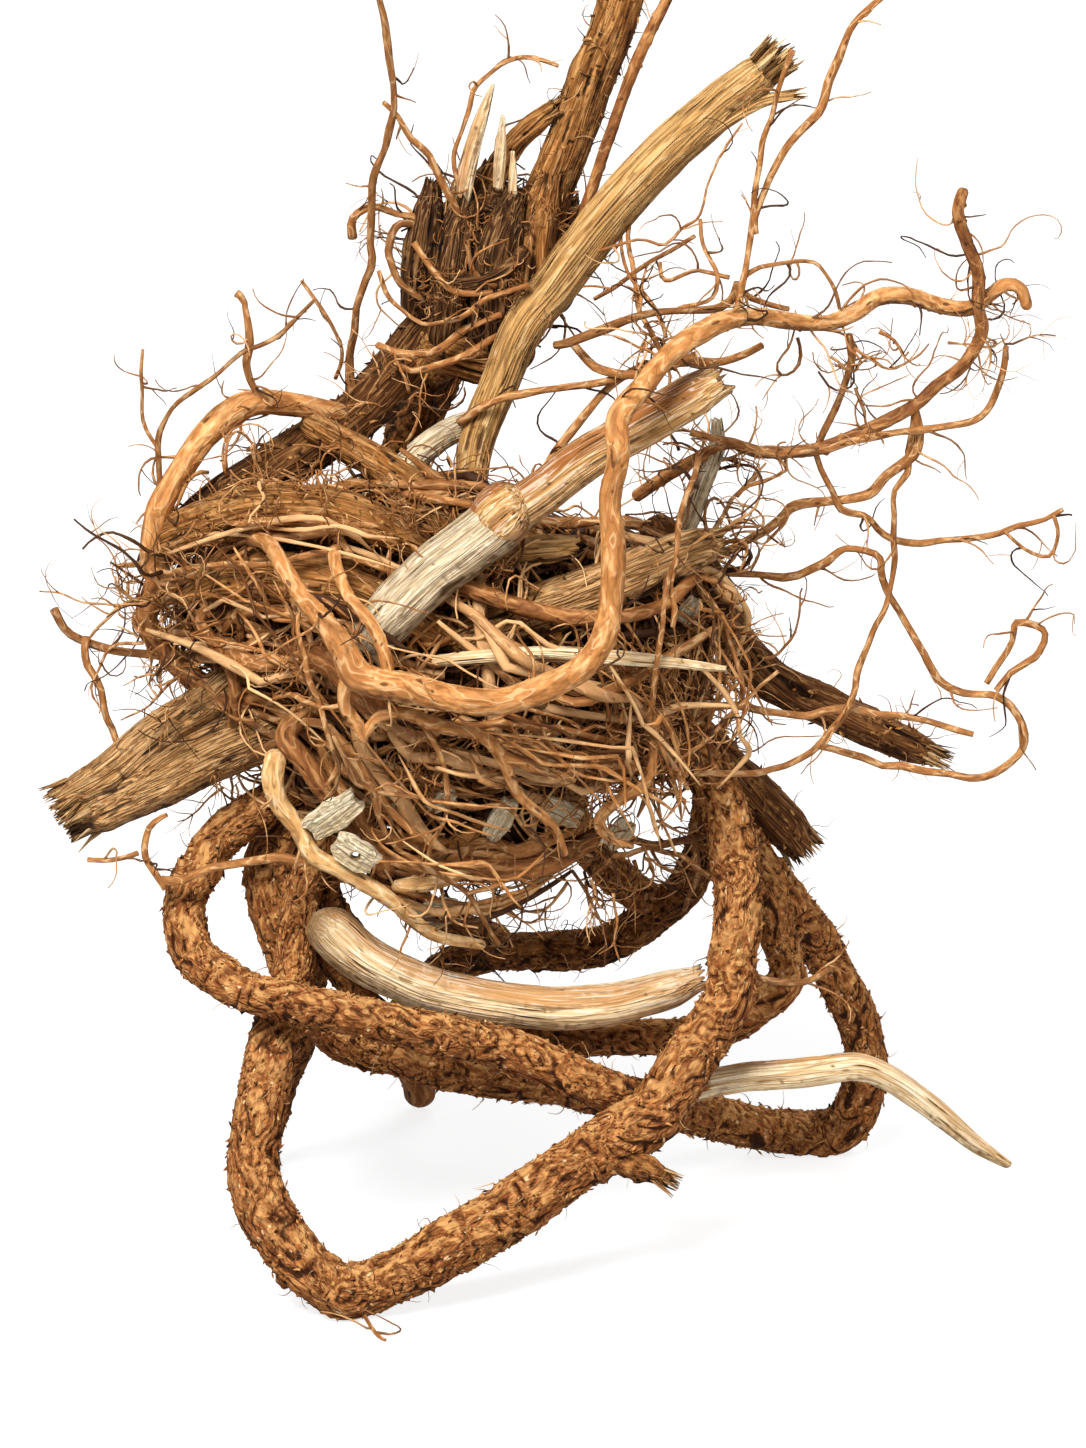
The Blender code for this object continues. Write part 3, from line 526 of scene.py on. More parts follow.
barkRoots = {
    "frontLoop": [
        (-38, 108, 50, 3.2), (-45, 94, 46, 3.4), (-49, 80, 40, 3.7), (-50, 66, 34, 4.2), (-53, 56, 27, 4.9),
        (-56, 41, 18, 5.0), (-58, 30, 12, 5.2), (-55.5, 20, 6, 5.6), (-49, 11, 2, 5.3), (-41, 4.8, 0, 5.3),
        (-36, 4.4, 0.5, 5.3), (-29, 6.6, 1.5, 5.4), (-19, 13, 4, 5.6), (-9, 19, 8, 5.7), (3, 27, 13, 5.8),
        (15, 34, 17, 5.9), (24, 42, 20, 5.6), (31, 52, 25, 5.2), (37, 64, 29, 5.0), (39.5, 76, 34, 4.9),
        (39, 88, 40, 4.7), (36, 102, 47, 4.6), (29, 114, 53, 4.6), (18, 124, 56, 4.4)],
    "leftLoop": [
        (-48, 106, 48, 3.6), (-61, 97, 42, 4.0), (-68, 90, 38, 4.1), (-71.5, 81, 34, 4.1), (-69, 72, 28, 4.1),
        (-61, 65, 21, 4.1), (-51, 62, 17.5, 4.0), (-41, 60, 18, 4.0), (-29, 57, 20, 4.1), (-19, 55, 22, 4.2),
        (-9, 52.5, 25, 4.2), (3, 48, 27, 4.2), (13, 44, 29, 4.1), (22, 41, 31, 3.6), (30, 43.5, 32, 3.0)],
    "backLoop": [
        (-46, 104, 54, 3.6), (-55, 92, 52, 3.8), (-55, 80, 47, 3.9), (-50, 66, 41, 4.0), (-42, 54, 38, 4.0),
        (-29, 50, 39, 4.0), (-19, 47.5, 42, 4.0), (-9, 45.5, 46, 4.0), (3, 44, 52, 4.1), (15, 41, 59, 4.2),
        (29, 38.5, 69, 4.3), (39, 35.5, 77, 4.4), (50, 32.7, 84, 4.5), (59, 32.8, 84.8, 4.6), (65, 38, 83, 4.5),
        (66.5, 47, 82, 4.1), (65, 55, 80, 4.0), (61, 64, 76, 4.0), (55, 74, 72, 4.1), (48, 84, 67, 4.2),
        (38, 96, 62, 4.2)],
    "innerLoop": [
        (34, 98, 62, 3.4), (44, 85, 60, 3.6), (48.5, 73, 58, 3.7), (49, 65, 56, 3.7), (43, 59, 54, 3.8),
        (35, 55, 52, 3.8), (22, 53.5, 50, 3.6), (10, 53, 48, 3.4), (-4, 51, 45, 3.0)],
    "rightStumpRoot": [
        (14, 128, 62, 4.4), (22, 124, 66, 4.4), (31, 114, 70, 4.6), (39, 106, 72, 4.7), (47, 98, 73, 4.7),
        (52.5, 92.5, 73, 4.2)],
    "rightBranchRoot": [
        (20, 157, 54, 4.0), (29, 150, 56, 4.4), (34, 142, 60, 4.5), (39, 133, 66, 4.4), (47, 126, 70, 4.2),
        (57, 121, 72, 4.1), (67, 116, 72, 3.8), (75, 112.5, 71, 3.2), (80, 110.5, 70, 2.2)],
    "crossingRoot": [
        (-14, 200, 86, 5.2), (-21, 196, 83, 5.6), (-29, 188, 79, 5.6), (-39, 178, 73, 5.6), (-49, 171, 67, 5.2),
        (-60, 164, 61, 4.8), (-70, 157, 56, 4.2), (-76, 150, 52, 3.2)],
    "crossingSideRoot": [(-48, 178, 66, 2.8), (-40, 173, 60, 3.2), (-31, 168, 54, 3.3), (-23, 162, 49, 3.2),
                         (-17, 152, 45, 3.0)],
    "shoulderRootUpper": [(-78, 151, 52, 3.6), (-68, 156, 46, 5.2), (-56, 159, 42, 5.6), (-45, 159, 39, 5.0),
                          (-33, 156, 38, 4.2), (-22, 151, 41, 3.0)],
    "shoulderRootLower": [(-72, 142, 47, 3.4), (-62, 146, 42, 5.0), (-50, 146, 37, 5.2), (-38, 144, 34, 4.8),
                          (-26, 138, 34, 4.0), (-14, 131, 38, 3.0)],
    "backStrutRoot": [(2, 116, 95, 3.6), (4, 104, 94, 3.7), (8, 94, 93, 3.8), (15, 86, 94, 3.8), (24, 79, 94, 3.6)],
    "loopKnob": [(-56.5, 28, 10, 2.0), (-60, 26.4, 9, 2.5), (-62.6, 25, 9, 1.8)],
}
darkRoots = {
    "backArc": [
        (24, 122, 66, 3.6), (33, 110, 76, 3.6), (34, 99, 84, 3.6), (31, 87, 90, 3.8), (24, 79, 94, 3.9),
        (14, 72.5, 96, 4.0), (3, 70, 96, 4.0), (-12, 69.5, 97, 3.9), (-22, 65, 100, 3.6), (-29, 57, 103, 3.2),
        (-30, 49, 105.5, 2.6), (-28, 44.5, 106.4, 2.2)],
    "arcStart": [(-34, 88, 50, 2.6), (-26, 81, 60, 3.0), (-18, 76, 74, 3.2), (-8, 72, 88, 3.4)],
    "strandRootOuter": [(-46, 100, 44, 3.0), (-51, 88, 45, 3.0), (-45, 75, 44, 2.9), (-36, 62, 42, 2.7),
                        (-26, 53, 41, 2.6)],
    "strandRootInner": [(-38, 98, 47, 3.0), (-44, 86, 46, 2.9), (-39, 75, 46, 2.9), (-30, 65, 46, 2.7),
                        (-16, 58, 46, 2.6), (-2, 54, 44, 2.6), (10, 52, 42, 2.6)],
    "backLeftFoot": [
        (-36, 112, 58, 3.4), (-43, 96, 61, 3.5), (-47, 78, 64, 3.5), (-48, 58, 68, 3.3), (-53, 45, 72, 3.3),
        (-57, 35, 74, 3.4), (-59, 28.3, 75, 3.4), (-57.5, 27.2, 72, 3.3), (-56, 28, 68, 2.6)],
    "rearRootMain": [(-12, 206, 92, 5.0), (-24, 184, 96, 5.0), (-30, 160, 98, 4.8), (-24, 138, 99, 4.6),
                     (-8, 122, 98, 4.4), (10, 112, 92, 4.0)],
    "rearRootLeft": [(-34, 152, 62, 3.6), (-42, 149, 72, 3.6), (-56, 140, 77, 3.8), (-62, 126, 75, 3.8),
                     (-54, 113, 69, 3.6), (-38, 108, 60, 3.4)],
    "rearRootRight": [(4, 150, 76, 3.4), (20, 146, 84, 3.6), (28, 132, 88, 3.7), (24, 118, 88, 3.6),
                      (14, 106, 82, 3.4)],
    "barkFlap": [(12, 31.5, 15, 2.0), (17, 29.4, 13.8, 2.7), (21, 28.2, 13, 2.6), (24.4, 26.4, 12.6, 1.7)],
}
brokenRoots = ("rightStumpRoot", "rightBranchRoot", "barkFlap")
fibrousRoots = ("rightBranchRoot", "rightStumpRoot", "crossingRoot", "crossingSideRoot", "shoulderRootUpper",
                "shoulderRootLower")
for number, (name, points) in enumerate(barkRoots.items()):
    look, finish = (woodLook, fibreWood) if name in fibrousRoots else (barkLook, bark)
    finish = darkFibre if name in ("rightStumpRoot", "rightBranchRoot", "crossingRoot") else finish
    grow(name, points, look, finish, 20 + number, ends="rb" if name in brokenRoots else "rr")
for number, (name, points) in enumerate(darkRoots.items()):
    grow(name, points, rearLook, darkBark, 40 + number, ends="rb" if name in brokenRoots else "rr")
print("bark roots grown")

# The woody stems, peeled roots and stumps

woodyStems = {
    "paleStemLower": dict(finish=weathered, points=[
        (-36, 132, 30, 4.4), (-31, 138, 30, 5.2), (-23, 146, 31, 5.4), (-15, 152, 32, 5.4), (-8, 157.5, 33, 5.6),
        (-4, 160, 33.5, 4.9)]),
    "stemCollar": dict(finish=paleWood, points=[
        (-12.5, 153.5, 32.5, 4.6), (-9.5, 156.5, 32.8, 6.1), (-6, 159.5, 33.2, 6.0), (-2.5, 162, 34, 4.6)]),
    "paleStub": dict(finish=straw, points=[
        (-16, 150, 42, 2.4), (-8, 151, 42, 2.7), (0, 152, 42.5, 2.8), (6, 152.5, 43, 2.6)]),
    "paleStemUpper": dict(finish=paleWood, points=[
        (-9, 157, 33, 4.4), (0, 163, 34.5, 4.5), (11, 171, 36, 4.4), (24, 178.5, 38, 4.4), (34, 184.5, 40, 4.3)]),
    "strawStem": dict(finish=straw, points=[
        (-15, 152, 54, 3.4), (-14.5, 162, 57, 3.2), (-13, 174, 61, 3.6), (-9, 185, 66, 3.9), (-4.5, 196, 69, 4.3),
        (2, 204, 71, 4.6), (12, 217, 72, 4.7), (23, 229, 73, 4.7), (35, 239.5, 74, 4.5), (46, 248.5, 75, 4.0)]),
    "strawStemSplit": dict(finish=straw, points=[
        (24, 227, 72, 1.8), (35, 236, 72, 1.7), (43, 240.5, 73, 1.5), (49.5, 241.5, 73, 0.9)]),
    "topStem": dict(finish=fibreWood, points=[
        (-5, 206, 84, 6.6), (-3, 212, 85, 6.2), (1, 223, 87, 5.3), (6.5, 236, 88, 4.8), (11.5, 250, 88, 4.8),
        (15.5, 262, 88, 4.7), (17, 267, 88, 4.6)]),
    "topRod": dict(finish=brownSkin, points=[
        (-2, 208, 84, 1.2), (6, 214, 81, 1.2), (9.5, 223, 81, 1.2), (14, 237, 82, 1.1), (19.5, 251, 83, 1.1),
        (25, 262, 84, 1.1), (28, 270, 84, 1.0)]),
    "brokenStick": dict(finish=fibreWood, points=[
        (-11, 214, 84, 2.2), (-10, 226, 85, 2.3), (-5, 234, 86, 2.3), (2, 240, 86, 2.0)]),
    "leftStumpUpper": dict(finish=stumpWood, points=[
        (-50, 130, 46, 4.0), (-60, 127, 44, 4.3), (-72, 118.5, 41, 4.3), (-85, 108, 37, 4.2), (-96, 102, 34, 3.6)]),
    "leftStumpLower": dict(finish=stumpWood, points=[
        (-44, 122, 46, 4.6), (-55, 116, 43, 6.0), (-69, 110.5, 40, 6.4), (-84, 102.5, 36, 5.8), (-93, 98, 34, 4.8)]),
    "greyStemLeft": dict(finish=weathered, points=[
        (-36, 160, 58, 2.6), (-30, 166, 60, 2.8), (-21, 174, 63, 2.8), (-12.5, 178, 64, 2.7)]),
    "greyStemMiddle": dict(finish=stumpWood, points=[
        (-18, 133, 38, 4.6), (-8, 137, 38, 5.4), (4, 141, 39, 5.6), (16, 146, 41, 4.8), (27, 151, 44, 4.4),
        (34, 153, 48, 3.6)]),
    "greyStemRight": dict(finish=weathered, points=[
        (26, 150, 52, 1.8), (29.5, 158, 53, 1.8), (32, 165, 54, 1.9), (34.5, 172, 54, 1.8), (34.5, 177, 53, 1.5)]),
    "paleStrip": dict(finish=peeled, points=[
        (-26, 129, 38, 1.2), (-16, 130, 27, 1.3), (0, 131, 24, 1.5), (18, 130, 25, 1.4), (36, 128, 29, 0.8)]),
    "tailRoot": dict(finish=peeled, points=[
        (24, 42, 31.5, 3.2), (34, 45, 33, 2.8), (46, 46.5, 35, 2.9), (56, 47.5, 38, 2.9), (64, 48, 40, 2.8),
        (71, 45, 42, 2.6), (79, 39, 44, 2.4), (87, 32.5, 46, 1.8), (95, 27.5, 48, 0.7)]),
}
stemLooks = {"topRod": skinLook, "topStem": woodLook, "brokenStick": woodLook, "leftStumpUpper": woodLook,
             "leftStumpLower": woodLook, "greyStemMiddle": woodLook}
for number, (name, stem) in enumerate(woodyStems.items()):
    grow(name, stem["points"], stemLooks.get(name, peeledLook), stem["finish"], 60 + number,
         ends="rr" if name in ("tailRoot", "stemCollar") else "rb")
grow("peeledLength", [
    (-45.8, 79, 29.5, 4.6), (-41.5, 75, 29.5, 5.1), (-34.5, 69.5, 30, 4.8), (-23, 64.5, 32, 4.6), (-9, 61.5, 34, 4.5),
    (3, 60.3, 35.5, 4.5), (14, 61, 37.5, 4.2), (24, 63.5, 39.5, 3.9), (31, 66, 41, 3.2)],
    peeledLook, peeled, 80, "peeled_length", "rb", dull=9)
print("stems grown")

# The long smooth root in front and its kin

skinRoots = {
    "frontRoot": [
        (-60, 150, 48, 1.3), (-58, 154, 40, 1.4), (-54, 153, 31, 1.5), (-51.5, 149, 24, 1.7), (-47, 142, 19, 1.9),
        (-43, 137, 15, 2.1), (-39.5, 132, 12.5, 2.5), (-37.5, 127.5, 11, 3.2), (-33, 125.5, 10, 3.1),
        (-27, 124.6, 9, 3.0), (-19, 122.6, 8, 2.7), (-9, 121.5, 8, 2.6), (-1, 123.5, 9, 2.6), (8, 128.5, 11, 2.5),
        (12.5, 137, 14, 2.5), (13.5, 153, 17, 2.4), (13, 162, 19, 2.2), (14.5, 170, 20, 2.3), (15, 177, 23, 2.3),
        (19.5, 183, 27, 2.3), (24, 188, 32, 2.2), (29, 193, 36, 2.2), (35, 196, 40, 2.0), (43, 197, 44, 1.8),
        (55, 196, 50, 1.7), (61, 198, 53, 1.8), (66, 201.5, 55, 1.7), (72, 202, 57, 1.7), (79, 199.8, 59, 1.6),
        (85, 199.5, 60, 1.6), (88.5, 202, 61, 1.5), (91.5, 204, 62, 1.5), (94.5, 203, 62, 1.4), (96, 199, 62, 1.2)],
    "frontRootStem": [(-38, 128, 11, 1.5), (-39, 121.5, 12, 1.4), (-36.5, 117, 13, 1.4), (-34.8, 113.5, 13.5, 1.1)],
    "frontRootBranch": [
        (-35, 114.5, 13, 1.0), (-31.5, 118.6, 13, 1.3), (-26.5, 119.2, 13, 1.4), (-20, 116.8, 13.5, 1.4),
        (-12, 114.8, 15, 1.4), (-7.8, 110, 17, 1.4), (-5.2, 103.5, 20, 1.2), (1.5, 97.5, 24, 1.1),
        (4.4, 91, 28, 0.7)],
    "frontRootFork": [(-8.5, 111.5, 16.5, 1.0), (-4.6, 109.5, 17, 1.0), (1.4, 107.6, 19, 0.9), (6.5, 106, 22, 0.7)],
    "frontRootTwin": [(-41, 152, 33, 1.2), (-40.8, 148.5, 24, 1.4), (-38.2, 142.5, 18, 1.4), (-33.4, 137, 14, 1.4),
                      (-31, 131.5, 12, 1.3), (-30, 126, 10, 1.2)],
    "sideFork": [(21.2, 120, 30, 0.9), (22, 112, 28, 0.9), (20.5, 106, 27, 1.2), (14, 101.6, 28, 1.2),
                 (11.2, 98, 29, 1.2), (13.8, 94.5, 31, 1.0), (18, 92.8, 34, 0.7)],
    "leftArcRoot": [
        (-38, 179, 73, 2.2), (-45, 180, 66, 2.3), (-56, 181, 60, 2.4), (-62, 178.5, 57, 2.7), (-68, 173.5, 54, 2.6),
        (-73, 166, 51, 2.4), (-76.5, 158, 49, 2.6), (-77.5, 149, 48, 2.9), (-73, 141, 47, 2.2)],
}
brownRoots = {
    "hangingRootInner": [
        (-37, 121, 40, 1.8), (-46, 120, 32, 2.0), (-51, 114.5, 27, 2.2), (-46.8, 109.4, 25, 2.1), (-42, 102, 25, 2.0),
        (-38.8, 96.4, 26, 2.0), (-34.4, 91.8, 28, 2.1), (-30.5, 86.5, 30, 1.7)],
    "upperRightRoot": [
        (83, 222.5, 56, 1.1), (82, 218, 57, 1.2), (84, 212, 58, 1.3), (86, 206, 59, 1.3), (86, 200, 60, 1.3),
        (87, 195, 60, 1.3), (84, 189, 60, 1.3), (78, 184.5, 59, 1.3), (74, 181, 58, 1.3), (67, 177, 57, 1.4),
        (60, 174, 56, 1.4), (51, 171.5, 55, 1.3), (43, 171, 54, 1.2), (37, 173, 53, 1.2), (30, 170, 54, 1.2),
        (18, 162, 56, 1.2)],
    "leftSideRoot": [(-50, 146, 36, 1.6), (-61, 141, 40, 1.5), (-68, 138, 40, 1.4), (-63, 131, 38, 1.4),
                     (-61, 124, 37, 1.3), (-62, 115, 39, 1.2)],
    "undersideRoot": [(-34, 90, 36, 1.8), (-24, 88, 33, 2.2), (-13, 88, 33, 2.4), (-4, 88.4, 34, 2.4), (3, 90, 36, 2.2),
                      (12, 95, 42, 1.9)],
    "footKnob": [(-31, 51, 105, 2.8), (-28.5, 46, 106, 3.1), (-26.3, 42, 107, 3.4), (-25, 36.8, 107, 3.7)],
    "kneeRoot": [(-58, 132, 44, 2.2), (-50, 132, 34, 2.8), (-42, 129, 26, 3.0), (-36, 124, 22, 2.8),
                 (-30, 116, 24, 2.0)],
    "shoulderBend": [(-76, 148, 48, 2.4), (-79, 138, 47, 2.2), (-74, 130, 45, 2.4), (-66, 124, 42, 2.6),
                     (-58, 120, 40, 2.4)],
    "middleRoot": [(-22, 148, 36, 1.6), (-10, 142, 30, 1.8), (2, 139, 28, 1.7), (14, 138, 30, 1.6), (24, 141, 36, 1.4),
                   (30, 147, 44, 1.4)],
}
creamRoots = {
    "hangingRootOuter": [
        (-52.4, 112.6, 27, 2.0), (-53.6, 107, 25, 2.2), (-52.4, 101.6, 24, 2.0), (-49, 97, 23, 2.0),
        (-45.6, 91.4, 22, 1.9), (-39.6, 88.3, 21.5, 1.9), (-33.4, 84.6, 22, 1.8), (-27.6, 79.4, 24, 1.6),
        (-21, 75, 28, 1.4), (-12, 73, 36, 1.0)],
    "paleHook": [(-30, 84.6, 26, 1.2), (-26, 85, 25, 1.7), (-20, 86, 26, 1.5), (-14, 89, 30, 0.9)],
}
for roots, finish, seed in ((skinRoots, skin, 90), (brownRoots, brownSkin, 100), (creamRoots, creamSkin, 110)):
    for number, (name, points) in enumerate(roots.items()):
        grow(name, points, skinLook, finish, seed + number)
print("smooth roots grown")

# The dense middle: knots of fine root, wrapped and hung with rootlets

knots = [  # across, up, back, then half-widths across, back and up
    (-11, 203, 86, 13, 11, 12), (-8, 215, 87, 12, 10, 12), (-16, 130, 57, 33, 26, 32), (-36, 118, 52, 21, 17, 21),
    (14, 132, 58, 19, 17, 24), (-54, 141, 51, 16, 13, 14), (-30, 152, 54, 19, 14, 13), (-16, 101, 50, 21, 14, 12)]
knotCentres = np.array([tuple(place(*k[:3])) for k in knots])
knotSizes = np.array([k[3:] for k in knots], float)


def hugging(point):  # the way out of the nearest knot, and how far out the point is (1 at its skin)
    scaled = (point - knotCentres) / knotSizes
    levels = np.linalg.norm(scaled, axis=1)
    k = int(np.argmin(levels))
    return unit(scaled[k] / knotSizes[k]), levels[k]


def growCore(name, which, finish, seed, fill):
    points, faces = [], []
    for k in which:
        bpy.ops.mesh.primitive_ico_sphere_add(subdivisions=5, radius=1)
        ball = bpy.context.object
        co = np.empty(len(ball.data.vertices) * 3)
        ball.data.vertices.foreach_get("co", co)
        co = co.reshape(-1, 3)
        rng = np.random.default_rng(seed + k)
        lump = np.zeros(len(co))
        for wave in range(9):
            way = rng.normal(size=3)
            lump += np.sin(co @ way * rng.uniform(4, 11) + rng.uniform(0, 6)) * 0.035
        offset = sum(len(p) for p in points)
        points.append(co * knotSizes[k] * (fill + lump)[:, None] + knotCentres[k])
        faces += [[v + offset for v in face.vertices] for face in ball.data.polygons]
        bpy.data.objects.remove(ball)
    finishPiece(meshPiece(name, np.vstack(points), faces, np.vstack(points)), finish)


# the knots of the ball are filled with near-black bodies: painted shade deep in the mass
growCore("ballShadowCore", range(2, 8), coreShadowFinish, 5, 0.78)
growCore("crownCore", range(0, 2), crownWood, 8, 0.86)


def onKnot(k, level=1.0, front=0.0):  # a spot on the skin of a knot, more often in front if asked
    while True:
        way = Vector(anyWay()).normalized()
        if chance.random() < 1 - front * (0.5 + 0.5 * way.y):
            return knotCentres[k] + np.array(way) * knotSizes[k] * level, np.array(way)


def wrappingRoots(count, low, high, long, choices, hug=1.0, bend=0.16, front=0.0, spread=0.07):
    strands = []
    for number in range(count):
        start, way = onKnot(chance.choice(choices), hug, front)
        heading = np.cross(way, anyWay()) * (1, 1, 0.45)
        level = hug + chance.gauss(0, spread)
        centres, radii = wander(start, heading, chance.uniform(*long), chance.uniform(low, high), bend=bend,
                                step=2.2, hug=level)[:2]
        # painted shade and light: the deeper a strand lies in the mass the darker its tone, with some random tone on
        # top
        strands.append((centres, radii, 0.5 + (level - 1.05) * depthShading + chance.gauss(0, 0.24)))
    return strands


def thinEnds(radii):
    size = len(radii)
    return radii * np.clip((np.minimum(np.arange(size), np.arange(size)[::-1]) + 1.2) / 5, 0, 1) ** 0.7


ballKnots = [2, 2, 2, 2, 3, 3, 4, 4, 5, 6, 7]
for name, wrapping, sides, finish in (
        ("wrappingRootsThick", (60, 1.2, 2.6, (35, 85), ballKnots, 0.93), 9, darkBark),
        ("wrappingRootsTan", (70, 0.7, 1.5, (30, 80), ballKnots, 1.0, 0.2), 7, rootlet),
        ("matRootletsDeep", (330, 0.28, 0.7, (20, 60), ballKnots, 0.97, 0.3, 0.0, 0.10), 5, rootlet),
        ("matRootletsOuter", (230, 0.2, 0.45, (18, 50), ballKnots, 1.10, 0.5, 0.4, 0.12), 5, rootlet)):
    strandPiece(name, wrappingRoots(*wrapping), sides, finish)
gnarled = wrappingRoots(70, 0.6, 1.5, (10, 30), [5, 5, 6, 6, 3, 2, 4], 1.10, 0.42, 0.85, 0.05)
gnarled = [(centres, thinEnds(radii), toneAndShade) for centres, radii, toneAndShade in gnarled]
strandPiece("gnarledRoots", gnarled[:45], 8, rootlet)
strandPiece("gnarledRootsDark", gnarled[45:], 8, darkBark)
frontCurls = wrappingRoots(95, 0.18, 0.42, (8, 26), [7, 7, 4, 4, 3, 2], 1.16, 0.5, 0.95, 0.06)
strandPiece("frontCurls", [(centres, radii, 0.52 + 0.34 * toneAndShade) for centres, radii, toneAndShade in frontCurls], 5, skin)

# bundles that sweep across the ball: count, thinnest and thickest radius, spread, then the points of the sweep
sweeps = [
    (9, 0.4, 1.3, 3.6, [(-82, 148, 54), (-68, 153, 44), (-52, 156, 36), (-36, 155, 33), (-18, 150, 35)]),
    (12, 0.4, 1.3, 4.0, [(-80, 140, 50), (-66, 142, 42), (-50, 142, 33), (-38, 136, 27), (-30, 126, 26)]),
    (12, 0.4, 1.6, 3.6, [(-80, 131, 48), (-66, 133, 43), (-52, 130, 34), (-42, 124, 28), (-34, 114, 26)]),
    (10, 0.5, 1.4, 3.6, [(-72, 124, 46), (-60, 120, 40), (-48, 114, 33), (-38, 106, 30), (-26, 98, 31)]),
    (9, 0.4, 1.7, 4.0, [(-44, 120, 28), (-38, 110, 26), (-30, 102, 27), (-18, 97, 30), (-4, 96, 33)]),
    (9, 0.4, 1.5, 4.4, [(-36, 122, 22), (-24, 114, 22), (-10, 108, 24), (4, 104, 28), (18, 104, 34)]),
    (9, 0.4, 1.0, 4.0, [(-24, 120, 20), (-12, 116, 21), (2, 112, 24), (14, 110, 28), (28, 112, 36)]),
    (9, 0.5, 1.4, 3.4, [(-40, 94, 34), (-28, 90, 33), (-14, 90, 34), (0, 92, 36), (14, 98, 40)]),
    (10, 0.4, 1.3, 4.0, [(-20, 140, 32), (-8, 133, 29), (4, 128, 29), (16, 128, 32), (30, 132, 40)]),
    (12, 0.3, 0.9, 4.4, [(8, 132, 30), (16, 124, 30), (22, 114, 31), (24, 104, 34), (22, 94, 42)]),
    (12, 0.3, 0.9, 4.4, [(22, 146, 44), (30, 138, 42), (35, 126, 42), (35, 114, 44), (30, 102, 48)]),
    (9, 0.5, 1.6, 3.6, [(14, 156, 52), (26, 152, 50), (34, 146, 50), (38, 136, 54), (38, 122, 58)]),
    (10, 0.4, 1.3, 4.0, [(-50, 160, 52), (-34, 164, 50), (-18, 162, 48), (-4, 158, 48), (12, 156, 52)]),
    (9, 0.5, 1.4, 5.0, [(-60, 150, 64), (-44, 152, 76), (-24, 148, 84), (-4, 144, 84), (16, 138, 78)]),
    (9, 0.5, 1.4, 5.0, [(-56, 128, 66), (-40, 122, 78), (-20, 120, 84), (0, 122, 82), (22, 122, 74)]),
    (7, 0.3, 1.0, 1.8, [(-36, 87, 30), (-24, 81, 31), (-12, 80, 33), (0, 84, 36), (12, 92, 40)]),
    (8, 0.5, 1.4, 5.0, [(-30, 108, 68), (-14, 104, 72), (2, 106, 72), (16, 112, 72), (28, 122, 68)]),
]


def sweepStrands(count, low, high, spread, points):
    line = smoothLine([(*point, 1.0) for point in points], 2.0)[:, :3]
    strands = []
    for number in range(count):
        first = int(len(line) * chance.uniform(0, 0.35))
        last = int(len(line) * chance.uniform(0.6, 1.0))
        part = line[first:last]
        size = len(part)
        ends = np.array([anyWay(spread) for end in range(3)])
        drift = np.stack([np.interp(np.linspace(0, 2, size), (0, 1, 2), ends[:, axis]) for axis in range(3)], axis=1)
        knobs = max(3, size // 4)
        crook = np.stack([np.interp(np.linspace(0, knobs, size), range(knobs + 1),
                                    [chance.gauss(0, 1.0) for knob in range(knobs + 1)])
                          for axis in range(3)], axis=1)
        radius = low + (high - low) * chance.random() ** 2.2
        radii = thinEnds(radius * (1 + 0.16 * np.sin(np.arange(size) * 0.9 + number)))
        # painted light and shade: strands that lie further forward are coloured lighter, those further back darker
        front = 0.34 * np.clip(-(drift[:, 1].mean()) / spread, -1, 1)
        strands.append((inBox(part + drift + crook), radii, np.clip(0.53 + front + chance.gauss(0, 0.28), 0, 1)))
    return strands


frontSweeps = [
    (6, 0.3, 0.8, 2.6, [(-42, 112, 20), (-28, 105, 20), (-14, 100, 22), (0, 98, 26)]),
    (7, 0.3, 0.7, 3.6, [(-12, 118, 16), (4, 112, 18), (18, 106, 23), (26, 98, 29)]),
    (7, 0.25, 0.6, 3.6, [(14, 128, 23), (23, 119, 25), (28, 107, 29), (26, 96, 35)]),
    (5, 0.3, 0.6, 3.4, [(-36, 97, 21), (-20, 90, 23), (-4, 88, 27), (6, 92, 32)]),
    (5, 0.3, 0.7, 3.6, [(-64, 150, 36), (-54, 142, 28), (-46, 132, 22), (-40, 122, 18)]),
    (5, 0.3, 0.7, 3.6, [(-70, 136, 38), (-58, 132, 30), (-48, 124, 24), (-40, 112, 20)]),
]
for name, bundles, sides, finish in (("sweepRoots", sweeps, 8, rootlet), ("frontSweepRoots", frontSweeps, 7, skin)):
    strandPiece(name, [strand for bundle in bundles for strand in sweepStrands(*bundle)], sides, finish)

# curly fuzz: across, up, back of each tuft, its reach, and how many curls
fuzz = [((-54, 164, 36), 10, 40), ((-40, 163, 33), 10, 50), ((-28, 159, 34), 8, 40), ((-66, 158, 42), 8, 30),
        ((-24, 108, 22), 7, 70), ((22, 122, 30), 9, 110), ((26, 110, 34), 9, 90), ((16, 112, 28), 8, 60),
        ((34, 140, 44), 8, 50), ((-12, 150, 34), 7, 40), ((-72, 136, 44), 9, 60), ((-50, 128, 28), 9, 60),
        ((-10, 160, 44), 10, 50), ((10, 100, 32), 9, 50), ((-30, 140, 74), 22, 60), ((10, 126, 74), 20, 60)]
curls = []
for middle, spread, count in fuzz:
    heart = np.array(place(*middle))
    for number in range(count):
        start, heading = heart + anyWay(spread * 0.5), anyWay()
        centres, radii, toneAndShade = wander(start, heading, chance.uniform(6, 20), chance.uniform(0.11, 0.24),
                                      bend=0.75, step=1.2, hug=chance.uniform(1.0, 1.22), taper=0.5)
        curls.append((centres, radii, 0.25 + 0.5 * toneAndShade))
strandPiece("curlyFuzz", curls, 4, rootlet)
crownHairs = wrappingRoots(150, 0.14, 0.32, (8, 26), [0, 1], 1.0, 0.6, spread=0.10)
strandPiece("crownRootlets", [(c, r, t - 0.3) for c, r, t in crownHairs], 5, rootlet)
print("mat grown")


# The torn crown: short dark lengths of wood standing side by side

